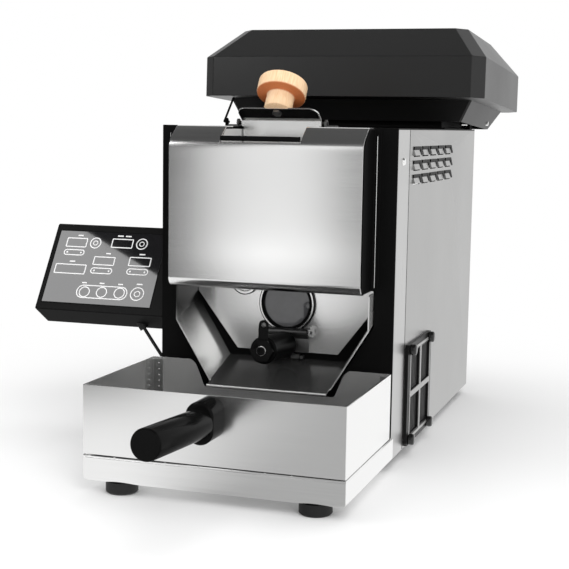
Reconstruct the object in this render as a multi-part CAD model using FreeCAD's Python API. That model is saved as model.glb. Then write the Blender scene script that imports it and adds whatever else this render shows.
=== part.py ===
import FreeCAD, Part
import math
import os

V = FreeCAD.Vector

# ------------------------------------------------------------------ driving sizes
# Millimetres. Origin on the floor under the middle of the body's front face,
# X to the right, Y to the back, Z up. Names that end in _Z are heights above the
# underside of the body, which up() turns into z values; _Y is a place along Y.

SHEET = 1.2               # folded steel sheet
PLATE = 2.0               # front plate and other plates
FIT = 0.3                 # gap between pieces that must not bind
RUN = 0.05                # radial running clearance of pins and shafts
SEAT = 0.02               # radial clearance of a fixed pin in its hole
PAST = 1.0                # how far a cutter reaches past the face it cuts
EDGE = 1.5                # chamfer of moulded edges

# feet
FOOT_HEIGHT = 10.0
FOOT_RADIUS = 13.5
FOOT_INSET = 26.0         # centre, in from the body's side
FOOT_END_INSET = 15.0     # centre, back from the base's front
FOOT_REAR_INSET = 30.0    # centre, in from the body's rear

# body
BODY_WIDTH = 220.0
BODY_DEPTH = 375.0
BODY_HEIGHT = 293.0
CORNER_STRIP = 46.0       # depth of the strip behind the front plate
PAN_FLANGE = 12.0
STRIP_SCREW_Y = 21.7
STRIP_SCREW_BELOW = 29.0  # below the top of the body
STRIP_SCREW_HEAD = 3.6
STRIP_SCREW_TOP = 2.8
STRIP_SCREW_SHANK = 1.8
STRIP_SCREW_PROUD = 1.6

# recess in the front plate
RECESS_MARGIN = 18.0      # body side to recess
RECESS_TOP_MARGIN = 8.0   # body top to recess
FACE_Y = 39.0             # front of the recessed face plate
FACE_PLATE = 1.5
FACE_BOTTOM_RISE = 1.0    # above the lowest line of the drum
FACE_BOTTOM_STEP = 8.5    # narrower than the chute's floor, each side
FACE_SHOULDER_RISE = 5.7  # above the chute's shoulder

# base and bean tray
BASE_OVERHANG = 2.5       # wider than the body, each side
BASE_LENGTH = 155.0
BASE_HEIGHT = 20.9
BASE_ROUND = 5.0
BASE_LIP = 15.0
TRAY_INSET = 0.1          # narrower than the base, each side
TRAY_GAP = 2.6            # shadow gap between base and tray
TRAY_OVERHANG = 0.3       # tray front ahead of the base front
TRAY_BACK_GAP = 13.5      # tray back to front plate
TRAY_HEIGHT = 57.6
TRAY_LEDGE = 9.0
TRAY_SCOOP_UNDER = 5.0    # scoop below the chute's floor
TRAY_SCOOP_SPREAD = 14.0
TRAY_SCOOP_SIDE = 4.0     # scoop wider than the chute's floor, each side
TRAY_SCOOP_BEND = 3.6
PAD_HALF = 4.0
PAD_INSET = 24.0          # from the base's front and back edges
SLOT_LENGTH = 42.0
SLOT_WIDTH = 4.0
SLOT_PITCH_X = 50.0
SLOT_PITCH_Y = 12.0

# tray handle
MOUNT_WIDTH = 23.5
MOUNT_HEIGHT = 34.5
MOUNT_LENGTH = 24.7
MOUNT_RISE = 39.8         # centre above the tray's underside
BAR_RADIUS = 12.25
BAR_LENGTH = 99.5
BAR_RISE = 3.8            # degrees
HANDLE_SCREW_RADIUS = 2.5
HANDLE_SCREW_HEAD = 4.7
HANDLE_SCREW_DEPTH = 12.0
HANDLE_SCREW_PITCH = 18.0

# bean chute
CHUTE_SIDE_GAP = 1.0      # to the recess, each side
CHUTE_FLOOR_HALF = 57.5
CHUTE_STEP = 7.5          # floor below the face plate's lower edge
CHUTE_SLANT = 54.5        # floor to shoulder
CHUTE_WALL = 31.0         # shoulder to top edge
CHUTE_TRAY_GAP = 1.5      # between the chute's walls and the tray's back
CHUTE_LIP = 8.0           # floor reaches this far over the tray's back
CHUTE_FALL = 15.0 / 51.0  # drop per length towards the front

# front cover
COVER_SIDE_GAP = 3.5      # to the recess, each side
COVER_FLAT = 17.0         # flat top, front to back
COVER_DEPTH = 36.0
COVER_BAND_DROP = 13.6    # slanted band, top to bottom
COVER_OVER_SHOULDER = 18.0
COVER_RETURN = 12.5
COVER_BEND = 6.0
COVER_BREAK_BEND = 16.0   # under the slanted band
COVER_BOTTOM_BEND = 9.0
CHEEK_INSET = 1.0
CHEEK_FLANGE = 7.0

# inlet funnel and its flap
MOUTH_HALF = 37.0
MOUTH_LEFT = 4.5          # middle of the mouth, left of the body's middle
MOUTH_FRONT_INSET = 2.0   # behind the cover's front
MOUTH_BEHIND_FLAP = 5.5
FUNNEL_WALL = 1.0
FUNNEL_DROP = 1.5         # funnel edge below the sheet above it
FUNNEL_STEP = 10.0        # fall of the ceiling between mouth and spout
SPOUT_CLEAR = 3.4
FUNNEL_LIP_BELOW = 7.4    # below the lower end of the slanted band
SPOUT_LOW = 16.0          # above the drum's axis
SPOUT_HIGH = 45.0
SPOUT_REACH = 3.5         # past the housing's face
FLAP_Y = 25.0
FLAP_BLADE = 57.0         # blade below the deck
FLAP_RISE = 6.5           # bend above the deck
FLAP_LEAN = 33.0          # degrees of the top plate above the level
FLAP_TOP_LENGTH = 18.6
FLAP_BEND = 3.0
FLAP_CORNER = 9.0
FLAP_SIDE_OVER = 1.0      # wider than the mouth above the deck, each side
FLAP_SIDE_GAP = 1.0       # narrower than the mouth below the deck, each side
FLAP_PIN_BEHIND = 1.8
FLAP_PIN_RISE = 3.0       # pin above the top deck
FLAP_PIN_RADIUS = 1.5
FLAP_KNUCKLE = 2.4
FLAP_EAR_GAP = 4.0        # mouth side to ear
FLAP_EAR = 1.5
FLAP_EAR_REACH = 3.6      # ear past the pin's axis
FLAP_PIN_PROUD = 1.0
FLAP_FOOT = 10.0
KNOB_UP_FLAP = 13.6       # knob centre up the top plate from the bend
KNOB_NECK_RADIUS = 12.5
KNOB_NECK = 16.0
KNOB_RADIUS = 22.3
KNOB_RIM = 13.5
KNOB_EDGE = 2.0
KNOB_SCREW_RADIUS = 2.5
KNOB_SCREW_HEAD = 4.5
KNOB_SCREW_DEPTH = 14.0

# sight glass and sampling port
GLASS_BELOW_DRUM = 19.6
GLASS_RADIUS = 22.0
GLASS_RING_WIDTH = 4.9
GLASS_RING_PROUD = 4.0
GLASS_THICK = 2.0
GLASS_SEAT = 1.8
PORT_X = -42.0
PORT_BELOW_DRUM = 0.4
PORT_RADIUS = 10.0
PORT_RING_WIDTH = 3.0
PORT_PROUD = 3.0

# discharge flap
DOOR_HOLE_HALF = 20.0
DOOR_OVER = 1.5           # door wider than its hole, each side
DOOR_SILL = 1.0           # housing's hole above the face plate's lower edge
DOOR_HOLE_HEIGHT = 16.0
DOOR_THICK = 1.5
DOOR_PIN_OUT = 7.5        # pin in front of the face plate
DOOR_PIN_ABOVE = 4.0      # pin above the hole
DOOR_PIN_RADIUS = 1.5
DOOR_KNUCKLE = 3.0
DOOR_EAR_GAP = 1.5
DOOR_EAR = 2.0
DOOR_PIN_PROUD = 0.8
GRIP_ABOVE = 8.0          # grip above the face plate's lower edge
GRIP_RADIUS = 12.25
GRIP_BACK_OUT = 11.0      # back end in front of the face plate
GRIP_LENGTH = 58.0
GRIP_RISE = 3.75          # degrees
GRIP_STUB_RADIUS = 6.0
GRIP_CAP_RADIUS = 11.0
GRIP_CAP = 4.0
GRIP_SCREW_RADIUS = 3.8
LATCH_WIDTH = 9.0
LATCH_RISE = 27.0
LATCH = 1.2
STOP_X = 4.5
STOP_WIDTH = 8.0
STOP_OUT = 3.0
STOP_BELOW = 1.6          # below the face plate's lower edge
STOP_PIN_RADIUS = 1.6
STOP_PIN_GAP = 1.4
STOP_PIN_RISE = 2.4
STOP_PIN_OUT = 6.0

# drum and its housing
DRUM_Z = 150.0
DRUM_RADIUS = 66.0
DRUM_LIP = 6.0
DRUM_WALL = 1.5
DRUM_GAP = 5.5            # housing face to drum
DRUM_LENGTH = 190.0
VANE_HEIGHT = 11.0
VANE_COUNT = 4
HEATER_GAP = 10.0         # between drum and housing
HEATER_RADIUS = 3.2
HEATER_COUNT = 3
HEATER_SPREAD = 30.0      # degrees between rods
HEATER_TAIL = 10.0
HOUSING_BACK_GAP = 8.0
SHAFT_RADIUS = 5.0
HUB_RADIUS = 12.0
HUB_LENGTH = 14.0
BUSH_RADIUS = 10.0
BUSH_LENGTH = 10.0
GEARBOX_SIZE = 60.0
GEARBOX_LENGTH = 32.0
GEARBOX_GAP = 12.0        # from the housing to the gearbox
MOTOR_RADIUS = 24.0
MOTOR_LENGTH = 42.0
STANDOFF = 8.0
SHAFT_GRIP = 16.0         # shaft inside the gearbox

# right side: louvres, fan, filter
LOUVRE_INSET = 15.0       # behind the seam of the corner strip
LOUVRE_PITCH = 36.5
LOUVRE_COUNT = 5
LOUVRE_LENGTH = 30.0
LOUVRE_ROWS = 3
LOUVRE_TOP_BELOW = 24.3   # top row below the top of the body
LOUVRE_ROW_PITCH = 12.7
LOUVRE_HEIGHT = 7.2
LOUVRE_PROUD = 2.4
FILTER_INSET = 4.0        # behind the seam of the corner strip
FILTER_LENGTH = 101.0
FILTER_BOTTOM_Z = 1.5
FILTER_HEIGHT = 94.5
FILTER_PROUD = 3.0
FILTER_BORDER = 9.0
FILTER_BAR = 6.0
FILTER_CORNER = 3.0
FILTER_LAP = 1.2          # mesh behind the frame's borders
FILTER_MESH = 0.8
FILTER_SLOT = 2.6
FILTER_SLOTS = 6          # slots across one pane
THUMB_RADIUS = 4.0
THUMB_SHANK = 1.5
THUMB_PROUD = 2.5
THUMB_INSET = 5.0
THUMB_END_INSET = 10.5
FAN_SIZE = 80.0
FAN_DEPTH = 25.4
FAN_BORE = 37.0
FAN_HUB = 17.0
FAN_BLADES = 7
FAN_BLADE = 2.0
FAN_PITCH = 40.0          # degrees
FAN_PIN_RADIUS = 2.0
FAN_PIN_SHORT = 8.5       # pin ends this far behind the frame's face
FAN_ARM = 4.0
FAN_WEB = 2.4
FAN_CORNER = 6.0

# rear panel
VENT_COUNT = 6
VENT_PITCH = 12.0
VENT_LENGTH = 120.0
VENT_WIDTH = 4.0
VENT_BELOW = 103.0        # lowest slot below the top of the body
INLET_INSET = 50.0        # centre in from the body's left side
INLET_Z = 42.0
INLET_WIDTH = 48.0
INLET_HEIGHT = 28.0
INLET_DEPTH = 24.0
BLADE_THICK = 2.0
BLADE_HEIGHT = 4.0
BLADE_SPREAD = 7.0
BLADE_RISE = 2.5
BLADE_SHORT = 4.0         # blades end this far inside the flange
SOCKET_RIM = 2.4          # flange past the body, each side
SWITCH_Z = 84.0
SWITCH_WIDTH = 21.0
SWITCH_HEIGHT = 28.0
SWITCH_BORDER = 2.5
SWITCH_TILT = 8.0         # degrees
SWITCH_PIN_IN = 4.0
ROCKER_DEPTH = 3.0
ROCKER_HORN = 1.0
ROCKER_TAPER = 2.0

# control panel
CONTROL_WIDTH = 134.0
CONTROL_HEIGHT = 93.0
CONTROL_THICK = 30.0
CONTROL_TILT = 32.5       # degrees back from upright
CONTROL_BOTTOM_Z = 116.0
CONTROL_ROUND = 2.5
SCREEN_LEFT = 5.6
SCREEN_WIDTH = 113.9
SCREEN_BOTTOM = 7.8
SCREEN_HEIGHT = 77.8
SCREEN_THICK = 1.6
ARM_LEG = 40.0
ARM_DEPTH = 26.0
ARM_BOTTOM = 28.0
ARM_HEIGHT = 42.0
LEAD_RADIUS = 1.6
LEAD_START_RIGHT = 105.0
LEAD_START_BACK = 24.0
LEAD_RIGHT = 12.0         # first run of the lead
LEAD_BACK = 1.8
LEAD_DOWN = 18.4
LEAD_END = 6.5            # last straight run before the grommet
LEAD_COVERED = 3.6        # first run inside the upper grommet
GLAND_Y = 33.0            # lower grommet
GLAND_Z = 66.0
GLAND_RADIUS = 4.2
GLAND_LENGTH = 3.0

# hood
HOOD_SIDE_OVER = 39.0     # rim outside the body's side
HOOD_BACK_OVER = 67.0     # rim behind the body's rear
HOOD_LENGTH = 252.0
HOOD_RIM_RISE = 23.0      # rim above the top deck, when closed
HOOD_BAND = 41.0
HOOD_RISE = 32.5
HOOD_SIDE_SLOPE = 27.0
HOOD_END_SLOPE = 43.5
HOOD_CORNER = 12.0
HOOD_TOP_CORNER = 11.5
HOOD_SHEET = 1.5
NECK_SIDE_OVER = 10.0     # lower edge outside the body's side
NECK_FRONT_INSET = 45.0
NECK_BACK_INSET = 37.0
NECK_LIFT = 1.5
NECK_TOP_SIDE_INSET = 18.0
NECK_TOP_FRONT_INSET = 40.0
NECK_TOP_BACK_INSET = 14.0
NECK_CORNER = 2.0
PIVOT_BEHIND = 5.0        # pivot behind the body's rear face
PIVOT_RISE = 7.0          # pivot above the top deck
HOOD_PROPPED = 2.5        # degrees that the stay holds the hood open
HOOD_ROD_RADIUS = 2.5
HOOD_ROD_PROUD = 1.5
HOOD_EAR_INSET = 4.0
HOOD_EAR = 3.0
HOOD_EAR_RADIUS = 6.0
COLLAR_SIDE_INSET = 12.0
COLLAR_FRONT_INSET = 10.0 # behind the neck's front
COLLAR_REAR_INSET = 15.0  # in front of the body's rear
COLLAR_HEIGHT = 10.0
COLLAR_FLANGE = 4.0
CHAFF_OVERLAP = 5.0
CHAFF_SLOTS = 6
CHAFF_SLOT = 16.0
CHAFF_BORDER = 18.0
STAY_RADIUS = 1.1
STAY_BEND = 1.8           # at the middle of the wire
STAY_EAR_INSET = 6.0      # in from the body's left side
STAY_EAR_RADIUS = 4.0
STAY_RISE = 4.0           # foot pin above the top deck
STAY_FOOT_AHEAD = 43.0    # foot in front of the hood's rim
STAY_TIP_OUT = 7.0        # tip outside the body's side
STAY_TIP_UNDER = 11.0     # tip behind the hood's front rim
STAY_PIN_OUT = 2.6        # bend of the wire outside its ear
STAY_PIN_PAST = 2.0

# ------------------------------------------------------------------ worked out


def up(height):
    """Height above the underside of the body, as a z value."""
    return FOOT_HEIGHT + height


HALF = BODY_WIDTH / 2.0
INSIDE = HALF - SHEET
DECK_Z = BODY_HEIGHT - SHEET
FOOT_X = HALF - FOOT_INSET
STRIP_SCREW_Z = BODY_HEIGHT - STRIP_SCREW_BELOW

RECESS_HALF = HALF - RECESS_MARGIN
RECESS_TOP_Z = BODY_HEIGHT - RECESS_TOP_MARGIN
HOUSING_Y = FACE_Y + FACE_PLATE

FACE_BOTTOM_Z = DRUM_Z - DRUM_RADIUS + FACE_BOTTOM_RISE
FACE_BOTTOM_HALF = CHUTE_FLOOR_HALF - FACE_BOTTOM_STEP
CHUTE_HALF = RECESS_HALF - CHUTE_SIDE_GAP
CHUTE_FLOOR_Z = FACE_BOTTOM_Z - CHUTE_STEP
CHUTE_SHOULDER_Z = CHUTE_FLOOR_Z + CHUTE_SLANT
CHUTE_TOP_Z = CHUTE_SHOULDER_Z + CHUTE_WALL
FACE_SHOULDER_Z = CHUTE_SHOULDER_Z + FACE_SHOULDER_RISE

BASE_HALF = HALF + BASE_OVERHANG
TRAY_HALF = BASE_HALF - TRAY_INSET
TRAY_Z = BASE_HEIGHT + TRAY_GAP
TRAY_FRONT_Y = -BASE_LENGTH - TRAY_OVERHANG
TRAY_BACK_Y = -TRAY_BACK_GAP
CHUTE_FRONT_Y = TRAY_BACK_Y + CHUTE_TRAY_GAP
CHUTE_LIP_Y = TRAY_BACK_Y - CHUTE_LIP
MOUNT_Z = TRAY_Z + MOUNT_RISE

COVER_HALF = RECESS_HALF - COVER_SIDE_GAP
COVER_FRONT_Y = -COVER_DEPTH
COVER_BREAK_Z = BODY_HEIGHT - COVER_BAND_DROP
COVER_BOTTOM_Z = CHUTE_SHOULDER_Z + COVER_OVER_SHOULDER
COVER_RETURN_Y = COVER_FRONT_Y + COVER_RETURN

MOUTH_FRONT_Y = COVER_FRONT_Y + MOUTH_FRONT_INSET
MOUTH_BACK_Y = FLAP_Y + MOUTH_BEHIND_FLAP
MOUTH_CUT_HALF = MOUTH_HALF + FUNNEL_WALL + FIT
FUNNEL_LIP_Z = COVER_BREAK_Z - FUNNEL_LIP_BELOW
SPOUT_BOTTOM_Z = DRUM_Z + SPOUT_LOW
SPOUT_TOP_Z = DRUM_Z + SPOUT_HIGH
SPOUT_END_Y = HOUSING_Y + SPOUT_REACH
FLAP_BOTTOM_Z = BODY_HEIGHT - FLAP_BLADE
FLAP_BEND_Z = BODY_HEIGHT + FLAP_RISE
FLAP_TOP_HALF = MOUTH_HALF + FLAP_SIDE_OVER
FLAP_LOW_HALF = MOUTH_HALF - FLAP_SIDE_GAP
FLAP_PIN_Y = FLAP_Y + FLAP_PIN_BEHIND
FLAP_PIN_Z = BODY_HEIGHT + FLAP_PIN_RISE
FLAP_EAR_INNER = MOUTH_HALF + FLAP_EAR_GAP

GLASS_Z = DRUM_Z - GLASS_BELOW_DRUM
GLASS_RING_RADIUS = GLASS_RADIUS + GLASS_RING_WIDTH
PORT_Z = DRUM_Z - PORT_BELOW_DRUM
PORT_RING_RADIUS = PORT_RADIUS + PORT_RING_WIDTH

DOOR_HALF = DOOR_HOLE_HALF + DOOR_OVER
DOOR_HOLE_TOP_Z = FACE_BOTTOM_Z + DOOR_HOLE_HEIGHT
DOOR_PIN_Y = FACE_Y - DOOR_PIN_OUT
DOOR_PIN_Z = DOOR_HOLE_TOP_Z + DOOR_PIN_ABOVE
DOOR_EAR_INNER = DOOR_HALF + DOOR_EAR_GAP
GRIP_Z = FACE_BOTTOM_Z + GRIP_ABOVE
GRIP_BACK_Y = FACE_Y - GRIP_BACK_OUT
GRIP_FRONT_Y = GRIP_BACK_Y - GRIP_LENGTH

DRUM_FRONT_Y = HOUSING_Y + DRUM_GAP
HOUSING_RADIUS = DRUM_RADIUS + HEATER_GAP
HOUSING_BACK_Y = DRUM_FRONT_Y + DRUM_LENGTH + HOUSING_BACK_GAP
GEARBOX_Y = HOUSING_BACK_Y + SHEET + GEARBOX_GAP

FILTER_FRONT_Y = CORNER_STRIP + FILTER_INSET
FAN_FACE_X = INSIDE - SHEET
FAN_Y = FILTER_FRONT_Y + FILTER_LENGTH / 2.0
FAN_Z = FILTER_BOTTOM_Z + FILTER_HEIGHT / 2.0
INLET_X = -HALF + INLET_INSET

PIVOT_Y = BODY_DEPTH + PIVOT_BEHIND
PIVOT_Z = BODY_HEIGHT + PIVOT_RISE
HOOD_HALF = HALF + HOOD_SIDE_OVER
HOOD_BACK_Y = BODY_DEPTH + HOOD_BACK_OVER
HOOD_FRONT_Y = HOOD_BACK_Y - HOOD_LENGTH
HOOD_RIM_Z = BODY_HEIGHT + HOOD_RIM_RISE
NECK_BOTTOM_Z = BODY_HEIGHT + NECK_LIFT
NECK_HALF = HALF + NECK_SIDE_OVER
NECK_FRONT_Y = HOOD_FRONT_Y + NECK_FRONT_INSET
NECK_BACK_Y = HOOD_BACK_Y - NECK_BACK_INSET
NECK_TOP_HALF = HOOD_HALF - NECK_TOP_SIDE_INSET
NECK_TOP_FRONT_Y = HOOD_FRONT_Y + NECK_TOP_FRONT_INSET
NECK_TOP_BACK_Y = HOOD_BACK_Y - NECK_TOP_BACK_INSET
COLLAR_HALF = HALF - COLLAR_SIDE_INSET
COLLAR_FRONT_Y = NECK_FRONT_Y + COLLAR_FRONT_INSET
COLLAR_BACK_Y = BODY_DEPTH - COLLAR_REAR_INSET
STAY_EAR_X = -HALF + STAY_EAR_INSET
STAY_FOOT_Y = HOOD_FRONT_Y - STAY_FOOT_AHEAD
STAY_TIP_X = -HALF - STAY_TIP_OUT
STAY_TIP_Y = HOOD_FRONT_Y + STAY_TIP_UNDER


# ------------------------------------------------------------------ shape helpers


def block(x0, x1, y0, y1, z0, z1):
    return Part.makeBox(x1 - x0, y1 - y0, z1 - z0, V(x0, y0, z0))


def closed_face(points):
    return Part.Face(Part.makePolygon(points + [points[0]]))


def prism_yz(outline, x0, x1):
    """Solid with an outline of (y, z) points, drawn across from x0 to x1."""
    return closed_face([V(x0, y, z) for y, z in outline]).extrude(V(x1 - x0, 0, 0))


def prism_xz(outline, y0, y1):
    """Solid with an outline of (x, z) points, drawn back from y0 to y1."""
    return closed_face([V(x, y0, z) for x, z in outline]).extrude(V(0, y1 - y0, 0))


def rod_x(radius, x0, x1, y, z):
    return Part.makeCylinder(radius, x1 - x0, V(x0, y, z), V(1, 0, 0))


def rod_y(radius, y0, y1, x, z):
    return Part.makeCylinder(radius, y1 - y0, V(x, y0, z), V(0, 1, 0))


def rod_z(radius, z0, z1, x, y):
    return Part.makeCylinder(radius, z1 - z0, V(x, y, z0), V(0, 0, 1))


def rod_between(radius, start, end):
    return Part.makeCylinder(radius, (end - start).Length, start, end - start)


def six_sided(radius, middle, run):
    """Six-sided prism that starts round a middle point and follows the run."""
    tall = V(run).cross(V(1, 0, 0)).normalize()
    corners = []
    for number in range(6):
        angle = math.radians(60 * number)
        side = V(radius * math.cos(angle), 0, 0) + tall * (radius * math.sin(angle))
        corners.append(middle + side)
    return closed_face(corners).extrude(run)


def mirrored(shape):
    return shape.mirror(V(0, 0, 0), V(1, 0, 0))


def at_mouth(shape):
    """Move a shape from the body's middle to the middle of the bean mouth."""
    shape.translate(V(-MOUTH_LEFT, 0, 0))
    return shape


def pair(shape):
    """The shape and its mirror image as two separate solids."""
    return Part.makeCompound([shape, mirrored(shape)])


def joined(shapes):
    result = shapes[0].fuse(shapes[1:])
    return result.removeSplitter()


def rounded(shape, radius, chosen):
    """Fillet the edges whose bounding box the function chosen accepts."""
    edges = [edge for edge in shape.Edges if chosen(edge.BoundBox)]
    return shape.makeFillet(radius, edges)


def chamfered(shape, size, chosen):
    """Chamfer the edges whose bounding box the function chosen accepts."""
    edges = [edge for edge in shape.Edges if chosen(edge.BoundBox)]
    return shape.makeChamfer(size, edges)


def bent_wire(corners, radii):
    """Straight runs through the corners, with tangent arcs of the given radii."""
    edges = []
    start = corners[0]
    for before, corner, after, radius in zip(corners, corners[1:], corners[2:], radii):
        back = (before - corner).normalize()
        ahead = (after - corner).normalize()
        half = back.getAngle(ahead) / 2.0
        reach = radius / math.tan(half)
        inward = (back + ahead).normalize()
        middle = corner + inward * (radius / math.sin(half) - radius)
        edges.append(Part.LineSegment(start, corner + back * reach).toShape())
        arc = Part.Arc(corner + back * reach, middle, corner + ahead * reach)
        edges.append(arc.toShape())
        start = corner + ahead * reach
    edges.append(Part.LineSegment(start, corners[-1]).toShape())
    return Part.Wire(edges)


def bent_rod(radius, corners, bends):
    """Round rod along the runs and arcs of a bent wire, with the wire's length."""
    path = bent_wire(corners, bends)
    section = Part.Wire(Part.makeCircle(radius, corners[0], corners[1] - corners[0]))
    return path.makePipeShell([section], True, True), path.Length


def folded_sheet(outline, radii, thickness, x0, x1):
    """Sheet bent along an open (y, z) outline; the outline is its outer face.

    A negative thickness puts the metal on the right of the outline's run.
    """
    wire = bent_wire([V(x0, y, z) for y, z in outline], radii)
    section = wire.makeOffset2D(thickness, 0, True, True)
    return section.extrude(V(x1 - x0, 0, 0))


def octagon(half, front, back, corner, z):
    """Corners of a rectangle in plan whose own four corners are cut off."""
    plan = [
        (-half, front + corner),
        (-half + corner, front),
        (half - corner, front),
        (half, front + corner),
        (half, back - corner),
        (half - corner, back),
        (-half + corner, back),
        (-half, back - corner),
    ]
    return [V(x, y, z) for x, y in plan]


def stack(rings):
    """Flat-sided solid through rings of points, from the lowest to the highest."""
    faces = [closed_face(rings[0]), closed_face(rings[-1])]
    for low, high in zip(rings, rings[1:]):
        for number in range(len(low)):
            after = (number + 1) % len(low)
            faces.append(closed_face([low[number], low[after], high[after], high[number]]))
    shell = Part.makeShell(faces)
    shell.sewShape()
    solid = Part.makeSolid(shell)
    if solid.Volume < 0:
        solid.reverse()
    return solid


# ------------------------------------------------------------------ base and feet


def base_box():
    """Plenum under the tray: a low box of sheet with its lower edges rolled."""
    low = up(0)
    high = up(BASE_HEIGHT)

    def skin(inset, top):
        half = BASE_HALF - inset
        body = block(-half, half, -BASE_LENGTH + inset, -inset, low + inset, top)
        return rounded(
            body,
            BASE_ROUND - inset,
            lambda b: b.ZMax < low + inset + SEAT and b.YMin < -inset - SEAT,
        )

    ledge = BASE_HALF - BASE_LIP
    well = block(-ledge, ledge, -BASE_LENGTH + BASE_LIP, -BASE_LIP, low + SHEET * 2, high)
    shell = skin(0, high).cut([skin(SHEET, high - SHEET), well])
    pads = []
    for x in (-BASE_HALF + BASE_LIP / 2, BASE_HALF - BASE_LIP / 2):
        for y in (-BASE_LENGTH + PAD_INSET, -PAD_INSET):
            pad = block(x - PAD_HALF, x + PAD_HALF, y - PAD_HALF, y + PAD_HALF, high, up(TRAY_Z) - FIT)
            pads.append(pad)
    return joined([shell] + pads)


def rubber_feet():
    front_y = -BASE_LENGTH + FOOT_END_INSET
    rear_y = BODY_DEPTH - FOOT_REAR_INSET
    feet = []
    for x in (-FOOT_X, FOOT_X):
        for y in (front_y, rear_y):
            foot = rod_z(FOOT_RADIUS, 0, up(0), x, y)
            feet.append(chamfered(foot, EDGE, lambda b: b.ZMax < SEAT))
    return Part.makeCompound(feet)


# ------------------------------------------------------------------ body sheets


def body_floor():
    """Floor pan with its edges turned up inside the side and rear panels."""
    front = PLATE + SHEET + FIT
    back = BODY_DEPTH - SHEET
    inner = INSIDE - SHEET
    outer = block(-INSIDE, INSIDE, front, back, up(0), up(PAN_FLANGE))
    hollow = block(-inner, inner, front + SHEET, back - SHEET, up(SHEET), up(PAN_FLANGE))
    return outer.cut(hollow)


def mouth_space(y0, y1, z0, z1):
    return at_mouth(block(-MOUTH_CUT_HALF, MOUTH_CUT_HALF, y0, y1, z0, z1))


def chute_drop(y):
    """How far the chute has come down at a place in front of the housing."""
    return (HOUSING_Y - y) * CHUTE_FALL


def front_plate():
    """Black front plate; the recess edges are folded back to the face plate."""
    plate = block(-HALF, HALF, 0, PLATE, up(0), up(BODY_HEIGHT))
    drop = chute_drop(0) + FIT + SHEET
    floor_half = CHUTE_FLOOR_HALF + SHEET
    recess = [
        (-RECESS_HALF, up(RECESS_TOP_Z)),
        (-RECESS_HALF, up(CHUTE_SHOULDER_Z) - drop),
        (-floor_half, up(CHUTE_FLOOR_Z) - drop),
        (floor_half, up(CHUTE_FLOOR_Z) - drop),
        (RECESS_HALF, up(CHUTE_SHOULDER_Z) - drop),
        (RECESS_HALF, up(RECESS_TOP_Z)),
    ]
    plate = plate.cut(prism_xz(recess, -PLATE, PLATE * 2))
    edge = RECESS_HALF + SHEET
    middle = PLATE / 2
    top = up(RECESS_TOP_Z)
    fold = block(RECESS_HALF, edge, middle, HOUSING_Y, up(CHUTE_SHOULDER_Z), top)
    roof = block(-edge, edge, middle, HOUSING_Y, top, top + SHEET)
    whole = joined([plate, fold, mirrored(fold), roof])
    slot = mouth_space(-PAST, HOUSING_Y + PAST, top - PAST, up(BODY_HEIGHT) + PAST)
    return whole.cut(slot)


def corner_strips():
    """Steel strips behind the front plate, each with a flange against it."""
    side = block(INSIDE, HALF, PLATE, CORNER_STRIP, up(0), up(DECK_Z))
    flange = block(RECESS_HALF + SHEET * 2, HALF, PLATE, PLATE + SHEET, up(0), up(DECK_Z))
    hole = rod_x(
        STRIP_SCREW_SHANK + SEAT, INSIDE - PAST, HALF + PAST, STRIP_SCREW_Y, up(STRIP_SCREW_Z)
    )
    return pair(joined([side, flange]).cut(hole))


def panel_screws():
    place = V(HALF, STRIP_SCREW_Y, up(STRIP_SCREW_Z))
    head = Part.makeCone(STRIP_SCREW_HEAD, STRIP_SCREW_TOP, STRIP_SCREW_PROUD, place, V(1, 0, 0))
    shank = rod_x(STRIP_SCREW_SHANK, INSIDE - SHEET, HALF, STRIP_SCREW_Y, up(STRIP_SCREW_Z))
    return pair(joined([head, shank]))


def side_sheet():
    return block(INSIDE, HALF, CORNER_STRIP + FIT, BODY_DEPTH, up(0), up(DECK_Z))


def side_panel_left():
    return mirrored(side_sheet())


def louvre(y, z):
    """One pressed louvre, open downwards: its solid and the slot behind it."""
    outer = [
        (HALF - SHEET, z + LOUVRE_HEIGHT),
        (HALF, z + LOUVRE_HEIGHT),
        (HALF + LOUVRE_PROUD, z),
        (HALF - SHEET, z),
    ]
    inner = [
        (HALF - SHEET, z + LOUVRE_HEIGHT - SHEET * 2),
        (HALF + LOUVRE_PROUD - SHEET, z),
        (HALF + LOUVRE_PROUD - SHEET, z - SHEET),
        (HALF - SHEET * 2, z - SHEET),
        (HALF - SHEET * 2, z + LOUVRE_HEIGHT - SHEET * 2),
    ]
    solid = prism_xz(outer, y, y + LOUVRE_LENGTH)
    slot = prism_xz(inner, y + SHEET, y + LOUVRE_LENGTH - SHEET)
    return solid, slot


def side_panel_right():
    """Side sheet with rows of louvres, the opening for the fan and screw holes."""
    first_y = CORNER_STRIP + LOUVRE_INSET
    top = up(BODY_HEIGHT - LOUVRE_TOP_BELOW)
    hoods = []
    cuts = [rod_x(FAN_BORE, INSIDE - PAST, HALF + PAST, FAN_Y, up(FAN_Z))]
    for row in range(LOUVRE_ROWS):
        for column in range(LOUVRE_COUNT):
            hood, slot = louvre(first_y + LOUVRE_PITCH * column, top - LOUVRE_ROW_PITCH * row)
            hoods.append(hood)
            cuts.append(slot)
    for y, z in thumb_places():
        cuts.append(rod_x(THUMB_SHANK + SEAT, INSIDE - PAST, HALF + PAST, y, z))
    return joined([side_sheet()] + hoods).cut(cuts)


def rear_opening(z, width, height):
    """Cutter for an opening in the rear panel, centred above the inlet's place."""
    half_width = width / 2 + FIT
    half_height = height / 2 + FIT
    return block(
        INLET_X - half_width,
        INLET_X + half_width,
        BODY_DEPTH - PLATE,
        BODY_DEPTH + PAST,
        up(z) - half_height,
        up(z) + half_height,
    )


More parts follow.
